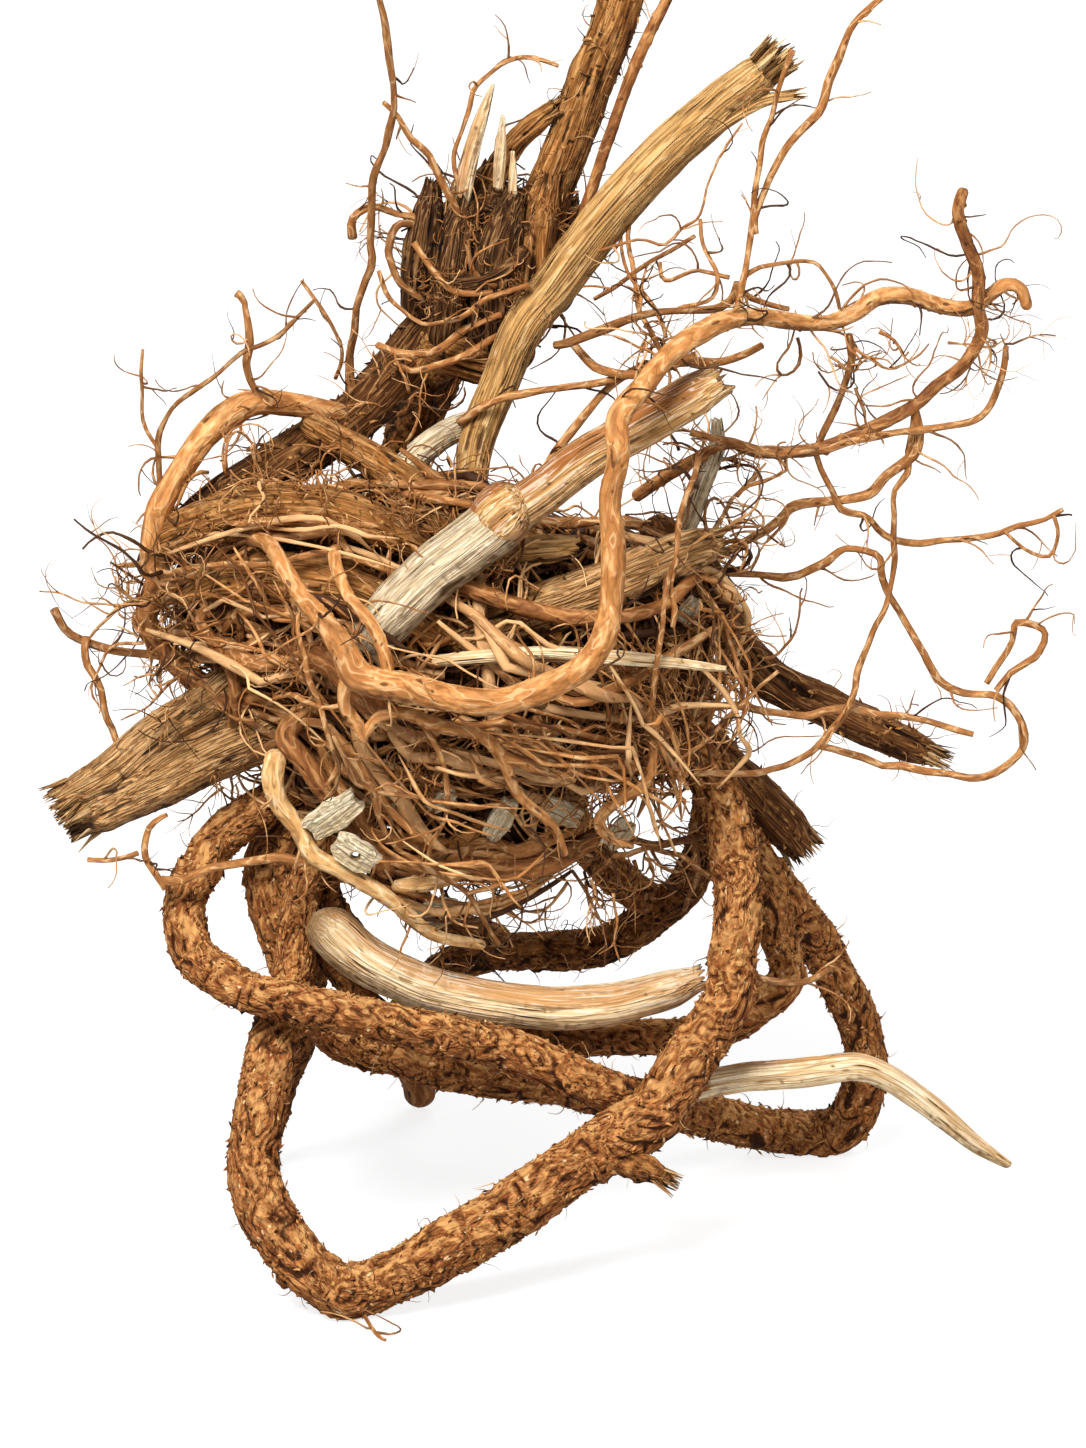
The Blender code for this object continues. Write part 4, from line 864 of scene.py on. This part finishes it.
crownChunks = [
    [(-25, 198, 80, 3.4), (-24.5, 208, 78, 4.0), (-23, 218, 79, 3.4), (-22, 225, 80, 2.0)],
    [(-19, 192, 77, 4.2), (-18, 203, 75, 5.0), (-16.5, 214, 76, 4.2), (-15, 221, 78, 2.6)],
    [(-11, 190, 76, 4.0), (-10, 201, 74, 5.0), (-9, 212, 75, 4.4), (-6, 222, 78, 2.8)],
    [(-3, 196, 77, 4.0), (-2, 206, 76, 4.6), (-1, 216, 79, 3.8), (1, 226, 83, 2.6)],
    [(-14, 200, 84, 5.0), (-13, 212, 84, 5.4), (-12, 222, 85, 4.0), (-10, 228, 86, 2.4)],
    [(-22, 200, 90, 4.2), (-20, 212, 92, 4.6), (-16, 222, 92, 3.2)],
    [(-8, 198, 95, 4.6), (-6, 210, 96, 5.0), (-3, 222, 94, 3.4)],
    [(2, 200, 88, 4.0), (4, 212, 89, 4.0), (5, 222, 90, 2.8)],
    [(-24, 194, 79, 3.4), (-17, 191, 75, 4.4), (-9, 190, 75, 4.4), (-2, 194, 78, 3.4)],
    [(-22, 208, 74, 1.8), (-16, 205, 71, 2.2), (-9, 207, 71, 2.2), (-3, 212, 73, 1.6)],
    [(-24, 186, 77, 4.4), (-20, 193, 78, 5.0), (-16, 202, 79, 5.0), (-13, 212, 80, 3.6)],
]
for number, points in enumerate(crownChunks):
    grow(f"crownChunk{number + 1}", points, woodLook, fibreWood if number in (3, 8, 10) else crownWood, 130 + number,
         ends="rr" if number in (8, 9) else "rb")
crownTuft = []
for middle, count in (((-20, 204, 72), 130), ((-14, 214, 74), 90), ((-6, 204, 71), 80), ((-2, 218, 77), 70)):
    heart = np.array(place(*middle))
    for number in range(count):
        start = heart + anyWay(3.2)
        centres, radii, toneAndShade = wander(start, (chance.gauss(0, 1), -0.6, chance.gauss(0, 1)), chance.uniform(2, 7),
                                      chance.uniform(0.08, 0.2), bend=1.1, step=0.7, taper=0.5)
        crownTuft.append((centres, radii, 0.10 + 0.55 * toneAndShade))
strandPiece("crownTuft", crownTuft, 4, rootlet)
print("crown grown")


def fringe(count, choices, long, accept, sink=0.0):  # rootlets that stand out, where accept takes the way out
    strands = []
    while len(strands) < count:
        start, way = onKnot(chance.choice(choices))
        if accept(way):
            strands.append(wander(start, way + anyWay(0.5), chance.uniform(*long), chance.uniform(0.16, 0.4),
                                  bend=0.4, step=1.8, sink=sink, taper=0.4))
    return strands


fringeStrands = fringe(150, [5, 5, 3], (12, 40), lambda way: way[0] < 0.1)
fringeStrands += fringe(110, [4, 4, 2], (10, 34), lambda way: way[0] > 0.2)
fringeStrands += fringe(90, [7, 7, 2], (8, 26), lambda way: way[2] < -0.2, 0.10)
fringeStrands += fringe(60, [2, 6], (10, 30), lambda way: way[2] > 0.1)
fringeStrands += fringe(80, [0, 1], (8, 30), lambda way: True)
strandPiece("fringeRootlets", [(c, r, 0.75 * t) for c, r, t in fringeStrands], 4, rootlet)


def reachOut(middle, way, count, long, radius):
    return [wander(np.array(place(*middle)) + anyWay(4), np.array(way) + anyWay(0.45), chance.uniform(*long),
                   chance.uniform(*radius), bend=0.5, step=1.8, taper=0.45) for number in range(count)]


# crooked branches that reach out: where they start, which way they go, how many, length and radius
reaching = [
    ((-70, 150, 46), (-1, -0.2, 0.5), 10, (16, 34), (0.3, 0.6)),
    ((-74, 138, 44), (-1, -0.2, 0.1), 12, (10, 26), (0.3, 0.6)),
    ((-72, 128, 42), (-1, -0.3, -0.1), 8, (10, 24), (0.25, 0.5)),
    ((-60, 164, 48), (-0.6, -0.1, 1), 9, (14, 30), (0.25, 0.5)),
    ((-30, 178, 62), (-0.3, -0.3, 1), 8, (10, 24), (0.25, 0.45)),
    ((30, 168, 54), (0.6, -0.2, 1), 10, (14, 34), (0.25, 0.5)),
    ((36, 150, 54), (1, -0.3, 0.6), 10, (14, 34), (0.3, 0.6)),
    ((34, 130, 50), (1, -0.4, -0.1), 9, (12, 28), (0.25, 0.5)),
    ((20, 194, 58), (0.4, -0.3, 1), 10, (12, 28), (0.25, 0.45)),
    ((58, 190, 52), (0.5, -0.2, -0.6), 9, (12, 30), (0.25, 0.45)),
    ((84, 196, 60), (0.6, -0.2, -0.4), 8, (8, 18), (0.2, 0.4)),
    ((8, 90, 42), (0.2, -0.2, -1), 10, (8, 22), (0.25, 0.5)),
    ((-62, 112, 42), (-0.6, -0.3, -1), 6, (8, 20), (0.25, 0.45)),
    ((-22, 212, 80), (-1, -0.2, 0.6), 8, (8, 20), (0.2, 0.4)),
    ((-8, 84, 42), (0.1, -0.2, -1), 9, (8, 20), (0.3, 0.6)),
    ((-20, 84, 40), (-0.1, -0.2, -1), 7, (6, 16), (0.3, 0.6)),
    ((20, 92, 50), (0.2, -0.1, -1), 7, (8, 20), (0.3, 0.55)),
]
branches = [strand for row in reaching for strand in reachOut(*row)]

# Thin shoots that stand clear: (across, up, back, radius)

thinShoots = [
    [(-33, 262, 72, .7), (-31, 255, 72, .8), (-30, 247, 72, .8), (-30, 238, 72, .8), (-31, 232, 73, .8),
     (-34, 224, 73, .8), (-34, 210, 74, .8), (-36, 204, 74, .8), (-38, 194, 74, .9), (-38, 182, 73, .9)],
    [(-32, 240, 72, .5), (-29, 237, 72, .6), (-24, 231, 73, .7), (-20, 225, 74, .7), (-17, 219, 75, .7),
     (-16, 214, 76, .7), (-15, 209, 76, .7), (-11, 205, 76, .7)],
    [(-38, 214, 78, .8), (-38, 218, 78, .9), (-34, 220, 78, .9), (-29, 219, 78, .9), (-24, 218, 79, .9),
     (-16, 212, 80, .9)],
    [(-16, 222, 80, .5), (-18, 230, 80, .5), (-15, 240, 80, .5), (-11, 246, 80, .5), (-5, 249, 80, .5),
     (3, 248, 80, .45)],
    [(-61, 202, 56, .9), (-59, 200, 56, .7), (-58, 193, 56, .8), (-59, 188, 57, .8), (-57, 183, 58, .8),
     (-52, 180, 61, .8)],
    [(-76, 162, 50, .6), (-76, 172, 50, .6), (-74, 178, 50, .5), (-71, 182, 50, .5), (-66, 185, 51, .5),
     (-60, 190, 52, .5), (-52, 194, 53, .5), (-45, 201, 54, .4)],
    [(-79, 191, 50, .3), (-79, 184, 50, .4), (-79, 178, 50, .4), (-76, 172, 50, .4)],
    [(38, 196, 43, .9), (38, 200, 43, .8), (40, 206, 44, .7), (41, 214, 44, .7), (43, 232, 45, .6), (49, 248, 45, .5)],
    [(41, 213, 44, .8), (44, 223, 46, .8), (49, 231, 47, .8), (55, 238, 48, .8), (58, 247, 49, .8), (61, 254, 50, .7),
     (69, 261, 50, .6)],
    [(39, 205, 45, .5), (51, 208, 48, .45), (56, 205, 49, .45), (59, 199, 52, .4)],
    [(2, 192, 60, .9), (11, 195, 57, .9), (21, 198, 52, .9), (35, 199, 46, .9), (39, 204, 45, .8)],
    [(29, 175, 50, .7), (41, 172, 51, .8), (51, 171, 52, .8), (65, 174, 54, .8), (79, 176, 57, .8), (87, 178, 58, .7),
     (91, 185, 60, .7), (92, 192, 61, .6)],
    [(74, 180, 58, 1.0), (74, 172, 58, 1.0), (69, 167, 58, 1.0), (65, 163, 58, 1.1), (57, 162, 59, 1.0),
     (51, 161, 60, 1.0), (47, 157, 61, 1.0), (39, 153, 63, .9), (34, 150, 66, .9)],
    [(54, 172, 55, .6), (59, 161, 57, .7), (65, 158, 60, .7), (71, 154, 62, .7), (79, 154, 64, .6), (87, 154, 65, .6),
     (97, 157, 66, .55), (104, 160, 66, .5)],
    [(102, 159, 66, .45), (103, 155, 66, .4), (101, 151, 66, .4), (96, 152, 65, .4), (92, 156, 65, .35)],
    [(60, 194, 52, .8), (61, 188, 54, .7), (57, 178, 56, .7), (54, 171, 57, .6)],
    [(74, 181, 58, .7), (73, 170, 58, .7), (70, 162, 58, .6), (70, 150, 58, .6), (68, 140, 57, .6), (64, 130, 56, .7),
     (61, 120, 54, .7), (55, 113, 52, .7), (47, 108, 48, .7), (31, 107, 40, .7), (15, 104, 32, .6)],
    [(34, 148, 66, .8), (49, 147, 62, .8), (55, 149, 60, .8), (61, 152, 60, .8), (67, 150, 60, .8), (69, 144, 60, .8),
     (77, 130, 60, .8), (83, 124, 60, .8), (91, 123, 60, .9), (96, 118, 60, .8), (96, 112, 60, .8), (89, 107, 60, .8),
     (77, 108, 60, .8), (65, 110, 62, .7), (55, 113, 64, .7)],
    [(89, 125, 60, .7), (93, 132, 60, .7), (95, 138, 60, .7), (100, 136, 60, .7), (99, 132, 60, .7), (91, 124, 60, .7)],
    [(24, 118, 56, .9), (31, 120, 55, .8), (39, 121, 55, .8), (49, 119, 55, .8), (61, 120, 56, .8), (71, 119, 57, .7),
     (86, 115, 58, .6)],
    [(-97, 140, 45, .8), (-94, 135, 45, .9), (-87, 132, 45, .9), (-79, 131, 45, .9), (-66, 130, 44, .9)],
    [(-91, 134, 43, .8), (-91, 132, 43, .8), (-88, 124, 42, .8), (-86, 116, 41, .8), (-84, 112, 40, .7)],
    [(-76, 86, 28, .9), (-63, 89, 27, 1.0), (-49, 90, 27, 1.0), (-40, 88, 27, .9)],
    [(-75, 100, 30, .5), (-78, 96, 30, .7), (-79, 91, 29, .7), (-75, 85, 28, .7)],
    [(-91, 90, 28, .5), (-86, 90, 28, .5), (-80, 91, 28, .6)],
    [(39, 69, 32, .7), (46, 66, 31, .7), (52, 65, 31, .7), (57, 68, 31, .6)],
    [(-37, 1.6, -1, .5), (-34, -2.2, -8, .4), (-31, -4.6, -15, .35)],
    [(0, 168, 60, .9), (11, 182, 62, .9), (20, 188, 62, .9), (34, 189, 60, .9), (44, 192, 56, .7)],
    [(-17, 177, 60, .8), (-8, 182, 58, .8), (6, 184, 60, .8), (20, 188, 62, .7)],
    [(-48, 205, 60, .4), (-44, 200, 60, .4), (-40, 192, 62, .4), (-41, 186, 66, .4)],
    [(-41, 115, 15, .6), (-39, 111, 15, .6), (-37, 106, 16, .6), (-33.4, 103.6, 17, .6), (-31.6, 98, 18, .6),
     (-29.4, 93, 20, .6), (-25, 90, 21, .65), (-20, 87, 22, .6), (-15.4, 83.6, 24, .6), (-12.4, 79, 26, .5),
     (-8.6, 73.6, 30, .4)],
    [(-15.4, 84, 24, .5), (-10.6, 85.2, 25, .5), (-5.8, 86.6, 27, .5), (-1, 85.2, 30, .4)],
    [(-47.6, 139, 17, .5), (-46.6, 130, 14, .6), (-44, 121, 14, .6), (-41.4, 113, 15, .6), (-40.4, 108.6, 17, .6),
     (-42.8, 105, 20, .4)],
    [(-53, 122.6, 22, .4), (-49, 122.6, 18, .5), (-43, 120.8, 14, .5), (-38.8, 120.6, 12.5, .6)],
    [(3, 105.6, 24, .5), (7.8, 108.6, 25, .5), (12, 110, 26, .55), (18.6, 109.4, 27, .6)],
    [(-32, 104, 18, .5), (-24, 103, 18, .5), (-15, 101, 20, .5), (-8, 101, 22, .5), (-4, 96, 25, .45), (2, 92, 30, .4)],
    [(-23, 117, 14, .5), (-20, 112, 16, .5), (-19, 105, 18, .5), (-20, 99, 20, .45), (-22, 93, 22, .45),
     (-24, 86, 26, .4)],
    [(26, 150, 30, .5), (24, 140, 24, .5), (22.6, 128, 24, .6), (21, 118, 26, .7)],
    [(31, 170, 42, .6), (27, 158, 34, .6), (25.6, 148, 28, .6), (25.4, 136, 25, .5)],
    [(20, 106, 28, .5), (30, 112, 32, .5), (38, 120, 38, .5), (46, 128, 44, .4)],
    [(-24, 217, 79, .8), (-29.4, 216, 76, .8), (-31, 211.4, 74, .8), (-28.4, 205.8, 73, .8), (-23.4, 201.8, 72, .7)],
    [(-32.6, 207, 70, .5), (-29.2, 200.6, 69, .5), (-21.2, 196.6, 67, .5), (-9.6, 201.8, 66, .6), (-2.8, 204, 66, .5)],
    [(-33, 193.4, 72, .7), (-29.2, 191, 70, .9), (-22.2, 191.2, 69, .9), (-15.4, 195.4, 68, .8), (-8, 199, 68, .6)],
    [(-30, 189.4, 71, .7), (-23, 188, 69, .8), (-16, 190.4, 68, .8), (-9, 195, 68, .6)],
    [(-25.4, 213, 74, .6), (-21.2, 207, 71, .7), (-17.6, 203.4, 69, .7), (-10.8, 202.4, 68, .6)],
    [(-15.4, 214, 72, .6), (-14.4, 207, 70, .6), (-9.6, 204.4, 69, .5)],
    [(9.8, 210.4, 68, .3), (19, 213.2, 66, .3), (24.8, 212.6, 65, .3), (27, 215, 65, .3), (30.6, 217.8, 65, .3),
     (32.2, 220.6, 66, .3), (33.4, 227.6, 67, .25), (35.2, 229.8, 68, .25), (39.2, 235, 70, .2)],
    [(18, 219, 72, .4), (17.4, 210.4, 68, .45), (19, 201.8, 62, .5), (20.8, 196, 58, .5), (23.6, 190, 56, .45)],
    [(15.6, 216, 72, .4), (16.8, 207, 66, .45), (22.4, 198.8, 60, .45), (24.2, 194, 58, .4)],
    [(31.6, 216.4, 60, .35), (31.6, 211.4, 58, .45), (34.6, 205.8, 55, .5), (33.4, 201.2, 53, .45),
     (27, 199.4, 52, .4)],
    [(29.4, 214, 62, .4), (21.4, 208.6, 64, .5), (16.4, 205.4, 66, .5), (10, 202, 68, .5)],
    [(23, 209, 62, .35), (23.8, 204.6, 60, .4), (30.6, 207, 57, .4), (36.2, 204.6, 54, .45)],
    [(38, 203.4, 46, .6), (41.4, 201.2, 47, .6), (48.8, 198.8, 50, .5)],
    [(5.8, 193.4, 64, .8), (9.8, 188, 61, .9), (16.2, 186.2, 59, .9), (23.6, 187.4, 58, .8), (30, 190, 57, .7)],
    [(34, 86, 60, .6), (28, 90, 56, .6), (20, 92, 50, .6), (13, 91, 46, .6)],
    [(36, 96, 66, .8), (30, 94, 66, .8), (22, 93, 62, .8), (14, 95, 58, .7)],
    [(29, 79, 70, .5), (31, 88, 68, .6), (30, 97, 66, .7)],
]
shoots = [shoot(points, 7 + number, 0.30 + 0.1 * (number % 5)) for number, points in enumerate(thinShoots)]
strandPiece("thinShoots", shoots, 9, rootlet)


def twigs(strand, count, long=(6, 22), radius=0.3, bend=0.4):  # side twigs off a thin root
    centres, radii = strand[:2]
    made = []
    for number in range(count):
        k = chance.randrange(2, len(centres) - 2)
        along = centres[k + 1] - centres[k - 1]
        heading = unit(np.cross(along, anyWay())) + 0.8 * along / (np.linalg.norm(along) + 1e-9)
        made.append(wander(centres[k], heading, chance.uniform(*long), min(radius, radii[k] * 0.7), bend=bend,
                           step=1.5, taper=0.35))
    return made


sideTwigs = []
for strand, points in zip(shoots, thinShoots):
    sideTwigs += twigs(strand, 5 if len(points) > 5 else 2)
for name, count, reach in (("frontRoot", 40, (8, 30)), ("frontRootBranch", 16, (6, 18)), ("frontRootFork", 5, (5, 12)),
                           ("sideFork", 12, (6, 16)), ("frontRootTwin", 6, (5, 14)), ("upperRightRoot", 34, (8, 30)),
                           ("leftArcRoot", 12, (8, 24)), ("hangingRootOuter", 10, (6, 20)),
                           ("hangingRootInner", 4, (5, 12)), ("undersideRoot", 14, (8, 20)), ("topRod", 3, (4, 10))):
    sideTwigs += twigs((surfaces[name]["centres"], surfaces[name]["radii"] * 0.3), count, reach, 0.38)
for branch in branches:
    sideTwigs += twigs(branch, 4, (4, 14), 0.26, 0.5)
strandPiece("reachingBranches", branches, 6, rootlet)
sideTwigs += [small for twig in sideTwigs[::2] for small in twigs(twig, 1, (3, 10), 0.2)]
strandPiece("sideTwigs", sideTwigs, 4, rootlet)
print("shoots grown")

# Bark scales, hairs and splinters

def spotsOn(names, spacing, depth):  # spots in the skins of roots: the way along, the way out, the spot, its grain
    for name in names:
        centres, reach, first, second, along, s, radii, seed = [surfaces[name][key] for key in (
            "centres", "reach", "first", "second", "along", "s", "radii", "seed")]
        area = float(np.sum(np.gradient(s) * radii) * math.tau)
        for number in range(int(area / spacing)):
            k, turn = chance.randrange(2, len(s) - 2), chance.randrange(reach.shape[1])
            angle = turn / reach.shape[1] * math.tau
            out = first[k] * math.cos(angle) + second[k] * math.sin(angle)
            yield along[k], out, centres[k] + out * (reach[k, turn] - depth), s[k] + seed * grainShift


def scatterScales(name, names, spacing, size, finish):  # small lifted scales of bark
    points, faces, grown, shades = [], [], [], []
    for along, out, foot, grain in spotsOn(names, spacing, 0.12):
        swing = chance.uniform(-1.2, 1.2)
        run = along * math.cos(swing) + np.cross(along, out) * math.sin(swing)
        run = run if chance.random() < 0.5 else -run
        side = np.cross(run, out)
        long, wide = chance.uniform(*size), chance.uniform(0.5, 1.0) * size[1] * 0.6
        lift = chance.uniform(0.10, 0.75) * long
        corners = [foot - side * wide * 0.5, foot + side * wide * 0.5,
                   foot + run * long * 0.6 + side * wide * 0.45 + out * lift * 0.35,
                   foot + run * long + out * lift,
                   foot + run * long * 0.6 - side * wide * 0.45 + out * lift * 0.3,
                   foot + run * long * 0.45 + out * (lift * 0.45 + 0.2)]
        shades += [chance.uniform(0.1, 0.95)] * len(corners)
        offset = len(points)
        points += corners
        grown += [(grain + chance.random(), out[0] * 4 + c, out[2] * 4) for c in (0, .2, .4, .6, .4, .2)]
        faces += [[offset + a for a in face] for face in ((0, 1, 5), (1, 2, 5), (2, 3, 5), (3, 4, 5), (4, 0, 5),
                                                          (0, 4, 3, 2, 1))]
    finishPiece(meshPiece(name, np.array(points), faces, np.array(grown), shades, smooth=False), finish)


scatterScales("barkScales", ("frontLoop", "leftLoop", "backLoop", "innerLoop"), 6.0, (0.6, 1.7), bark)
scatterScales("barkScalesUpper", ("crossingRoot", "rightBranchRoot", "rightStumpRoot", "topStem", "backStrutRoot",
                                  "shoulderRootUpper", "shoulderRootLower"), 14.0, (0.6, 1.8), fibreWood)
scatterScales("barkScalesDark", ("backArc", "arcStart", "backLeftFoot", "rearRootMain", "rearRootLeft", "rearRootRight",
                                 "strandRootOuter", "strandRootInner"), 10.0, (0.6, 1.6), darkBark)


def scatterHairs(names, spacing, long, radius):
    return [wander(foot, out * 0.55 + along * chance.uniform(-1, 1) + anyWay(0.4), chance.uniform(*long),
                   chance.uniform(*radius), bend=0.5, step=0.9, taper=0.3)
            for along, out, foot, grain in spotsOn(names, spacing, 0.15)]


hairs = scatterHairs(("frontLoop", "leftLoop", "backLoop", "innerLoop", "crossingRoot"), 60, (2, 6), (0.08, 0.17))
hairs += scatterHairs(("rightBranchRoot", "rightStumpRoot", "topStem", "backArc"), 22, (3, 9), (0.08, 0.2))
strandPiece("barkHairs", hairs, 3, rootlet)


def splinterTuft(name, count, long, thick):  # torn fibres at the far end of a stem
    end, along, first, second, radius = [surfaces[name][key][-1] for key in (
        "centres", "along", "first", "second", "radii")]
    rooted = 3.0  # how deep in the stem the fibres start, mm
    strands = []
    for number in range(count):
        angle, out = chance.uniform(0, math.tau), radius * math.sqrt(chance.random())
        side = first * math.cos(angle) + second * math.sin(angle)
        heading = along + side * chance.uniform(-0.05, 0.25) + anyWay(0.07)
        strands.append(wander(end + side * out - along * rooted, heading, rooted + chance.uniform(*long),
                              chance.uniform(*thick), bend=0.05, step=1.5, taper=0.12))
    return strands


strawTufts = [("strawStem", 46, (0.5, 6), (0.4, 1.0)), ("strawStemSplit", 7, (1, 4), (0.3, 0.6))]
stumpTufts = [
    ("leftStumpUpper", 34, (0.5, 4), (0.35, 0.9)), ("leftStumpLower", 44, (0.5, 4.5), (0.35, 1.0)),
    ("barkFlap", 26, (0.6, 3.2), (0.25, 0.7)), ("brokenStick", 14, (0.5, 4), (0.25, 0.6)),
    ("rightBranchRoot", 30, (0.5, 5), (0.2, 0.6)), ("rightStumpRoot", 40, (0.5, 4), (0.25, 0.8)),
    ("topStem", 40, (0.5, 4), (0.3, 0.9))]
for name, tufts, finish in (("strawSplinters", strawTufts, straw), ("stumpSplinters", stumpTufts, stumpWood)):
    strandPiece(name, [strand for tuft in tufts for strand in splinterTuft(*tuft)], 5, finish)

# Flat splinters at the crown and the loose chips

crownSplinters = [
    ("crownSplinterTall", [(-17, 212, 80, 2.0), (-16.5, 222, 80, 2.0), (-13, 235, 79, 1.5), (-10, 244, 79, 0.5)], 0.45),
    ("crownSplinterShort", [(-9, 224, 79, 1.3), (-8.5, 231, 79, 1.2), (-8, 238, 79, 0.5)], 0.5),
    ("crownSplinterSide", [(-6, 218, 78, 1.1), (-6, 226, 78, 1.0), (-6, 231, 78, 0.5)], 0.5)]
for number, (name, points, thick) in enumerate(crownSplinters):
    grow(name, points, peeledLook, peeled, 120 + number, ends="bb", flatten=thick)


def growChip(name, node, middle, size, lean, tip, seed, hole=None):
    long, wide, thick = size
    bpy.ops.mesh.primitive_cube_add(size=1)
    chip = bpy.context.object
    chip.name = name
    chip.scale = (long, thick, wide)
    bpy.ops.object.transform_apply(location=False, rotation=False, scale=True)
    bpy.ops.object.mode_set(mode="EDIT")
    bpy.ops.mesh.select_all(action="SELECT")
    bpy.ops.mesh.subdivide(number_cuts=11)
    bpy.ops.object.mode_set(mode="OBJECT")
    rng = random.Random(seed)
    phase = [rng.uniform(0, 6) for k in range(6)]
    turn = Matrix.Rotation(math.radians(tip), 3, "X") @ Matrix.Rotation(math.radians(-lean), 3, "Y")
    grown = []
    for v in chip.data.vertices:
        run = 2 * v.co.x / long
        v.co.z *= 1 - 0.35 * run * run + 0.05 * math.sin(7 * run + phase[0])
        v.co.x *= 1 + 0.06 * math.sin(9 * v.co.z / wide + phase[1])
        v.co.y += 0.8 * run * run + 0.12 * math.sin(5 * v.co.z + phase[2]) + 0.1 * math.sin(3 * v.co.x + phase[3])
        grown.append((v.co.x, v.co.y, v.co.z))
        v.co = (turn @ v.co + place(*middle)) * mm
    noteGrain(chip.data, grown, [0.55 + 0.2 * math.sin(3.1 * x + 1.7 * z + seed) for x, y, z in grown])
    if hole:
        bpy.ops.mesh.primitive_cylinder_add(vertices=20, radius=hole * mm, depth=8 * mm, location=place(*middle) * mm,
                                            rotation=(math.radians(90 + tip), 0, 0))
        drill = bpy.context.object
        cut = chip.modifiers.new("knotHole", "BOOLEAN")
        cut.operation, cut.object, cut.solver = "DIFFERENCE", drill, "EXACT"
        bpy.context.view_layer.objects.active = chip
        bpy.ops.object.modifier_apply(modifier="knotHole")
        bpy.data.objects.remove(drill)
    bpy.ops.object.select_all(action="DESELECT")
    chip.data.polygons.foreach_set("use_smooth", [False] * len(chip.data.polygons))
    finishPiece(chip, chipWood, node)


growChip("chipLeft", "wood_chip_left", (-41.5, 99, 20), (12.0, 6.4, 1.6), 38.0, 12.0, 1)
growChip("chipKnot", "wood_chip_knot", (-37, 91.5, 18.5), (9.4, 6.4, 1.6), -35.0, 8.0, 2, hole=0.9)
growChip("chipMid", "wood_chip_mid", (-8.5, 98, 30), (9.5, 4.6, 1.5), 62.0, 10.0, 3)
paleFlakes = [((-21, 79.4, 33), (9.5, 5.5, 1.2), 12.0, -10.0), ((4, 99.5, 32), (8.0, 5.0, 1.0), -28.0, 6.0),
              ((15, 95, 38), (7.0, 5.0, 1.0), 50.0, 8.0), ((-30, 101, 30), (6.5, 4.2, 1.0), 66.0, 4.0),
              ((29, 139.5, 44), (6.0, 4.0, 1.0), 60.0, 0.0), ((-20, 102, 27), (6.5, 3.6, 1.0), 40.0, 5.0)]
for number, (middle, size, lean, tip) in enumerate(paleFlakes):  # papery flakes of bark that cling between the roots
    growChip(f"paleFlake{number + 1}", "dry_root", middle, size, lean, tip, 10 + number)
print("chips and splinters made")

# Floor, light and camera

bpy.ops.mesh.primitive_plane_add(size=8, location=(0, 0, -0.0002))
floor = bpy.context.object
floor.name = "floor"
floorPaint = bpy.data.materials.new("floorPaint")
floorPaint.use_nodes = True
floorTree = floorPaint.node_tree
floorInputs = floorTree.nodes["Principled BSDF"].inputs
floorInputs["Base Color"].default_value = (0.28, 0.28, 0.28, 1)
floorInputs["Roughness"].default_value = 0.9
floorInputs["Emission Color"].default_value = (1, 1, 1, 1)
rays = addNode(floorTree, "ShaderNodeLightPath").outputs["Is Camera Ray"]
glow = addNode(floorTree, "ShaderNodeMapRange", {0: rays, 3: 0.35, 4: 0.80}).outputs[0]  # brighter in view
floorTree.links.new(glow, floorInputs["Emission Strength"])
floor.data.materials.append(floorPaint)

world = bpy.data.worlds.new("studio")
bpy.context.scene.world = world
world.use_nodes = True
skyInputs = world.node_tree.nodes["Background"].inputs
skyInputs["Color"].default_value, skyInputs["Strength"].default_value = (1, 1, 1, 1), 0.17

studioLights = {  # place in m, aim in m, size in m, power in W
    "keyLight": ((-0.55, -0.95, 1.45), (0, 0, 0.10), 0.7, 52),
    "fillLight": ((1.1, -0.8, 0.8), (0, 0, 0.10), 0.9, 9),
    "backLight": ((0.3, 1.2, 1.1), (0, 0, 0.15), 0.9, 10),
}
for name, (spot, aim, size, power) in studioLights.items():
    bpy.ops.object.light_add(type="AREA", location=spot)
    light = bpy.context.object
    light.name = name
    light.data.size, light.data.energy = size, power
    light.rotation_euler = (Vector(aim) - Vector(spot)).to_track_quat("-Z", "Y").to_euler()

studioCamera = {"lens": 250, "sensor": 36, "aim": (0, 117.2, 50), "frameHeight": 289.6}
bpy.ops.object.camera_add()
camera = bpy.context.object
camera.name = "studioCamera"
camera.data.lens, camera.data.sensor_width = studioCamera["lens"], studioCamera["sensor"]
distance = studioCamera["frameHeight"] * mm * studioCamera["lens"] / studioCamera["sensor"]
aim = place(*studioCamera["aim"]) * mm
aim.x = centreShift[0] * mm  # without the rounding of place
sight = Vector((0, -math.cos(tilt), math.sin(tilt)))
camera.location = aim + sight * distance
camera.rotation_euler = (-sight).to_track_quat("-Z", "Y").to_euler()
camera.data.clip_start, camera.data.clip_end = 0.05, 20
bpy.context.scene.camera = camera
bpy.context.scene.view_settings.view_transform = "Standard"
bpy.ops.object.select_all(action="DESELECT")
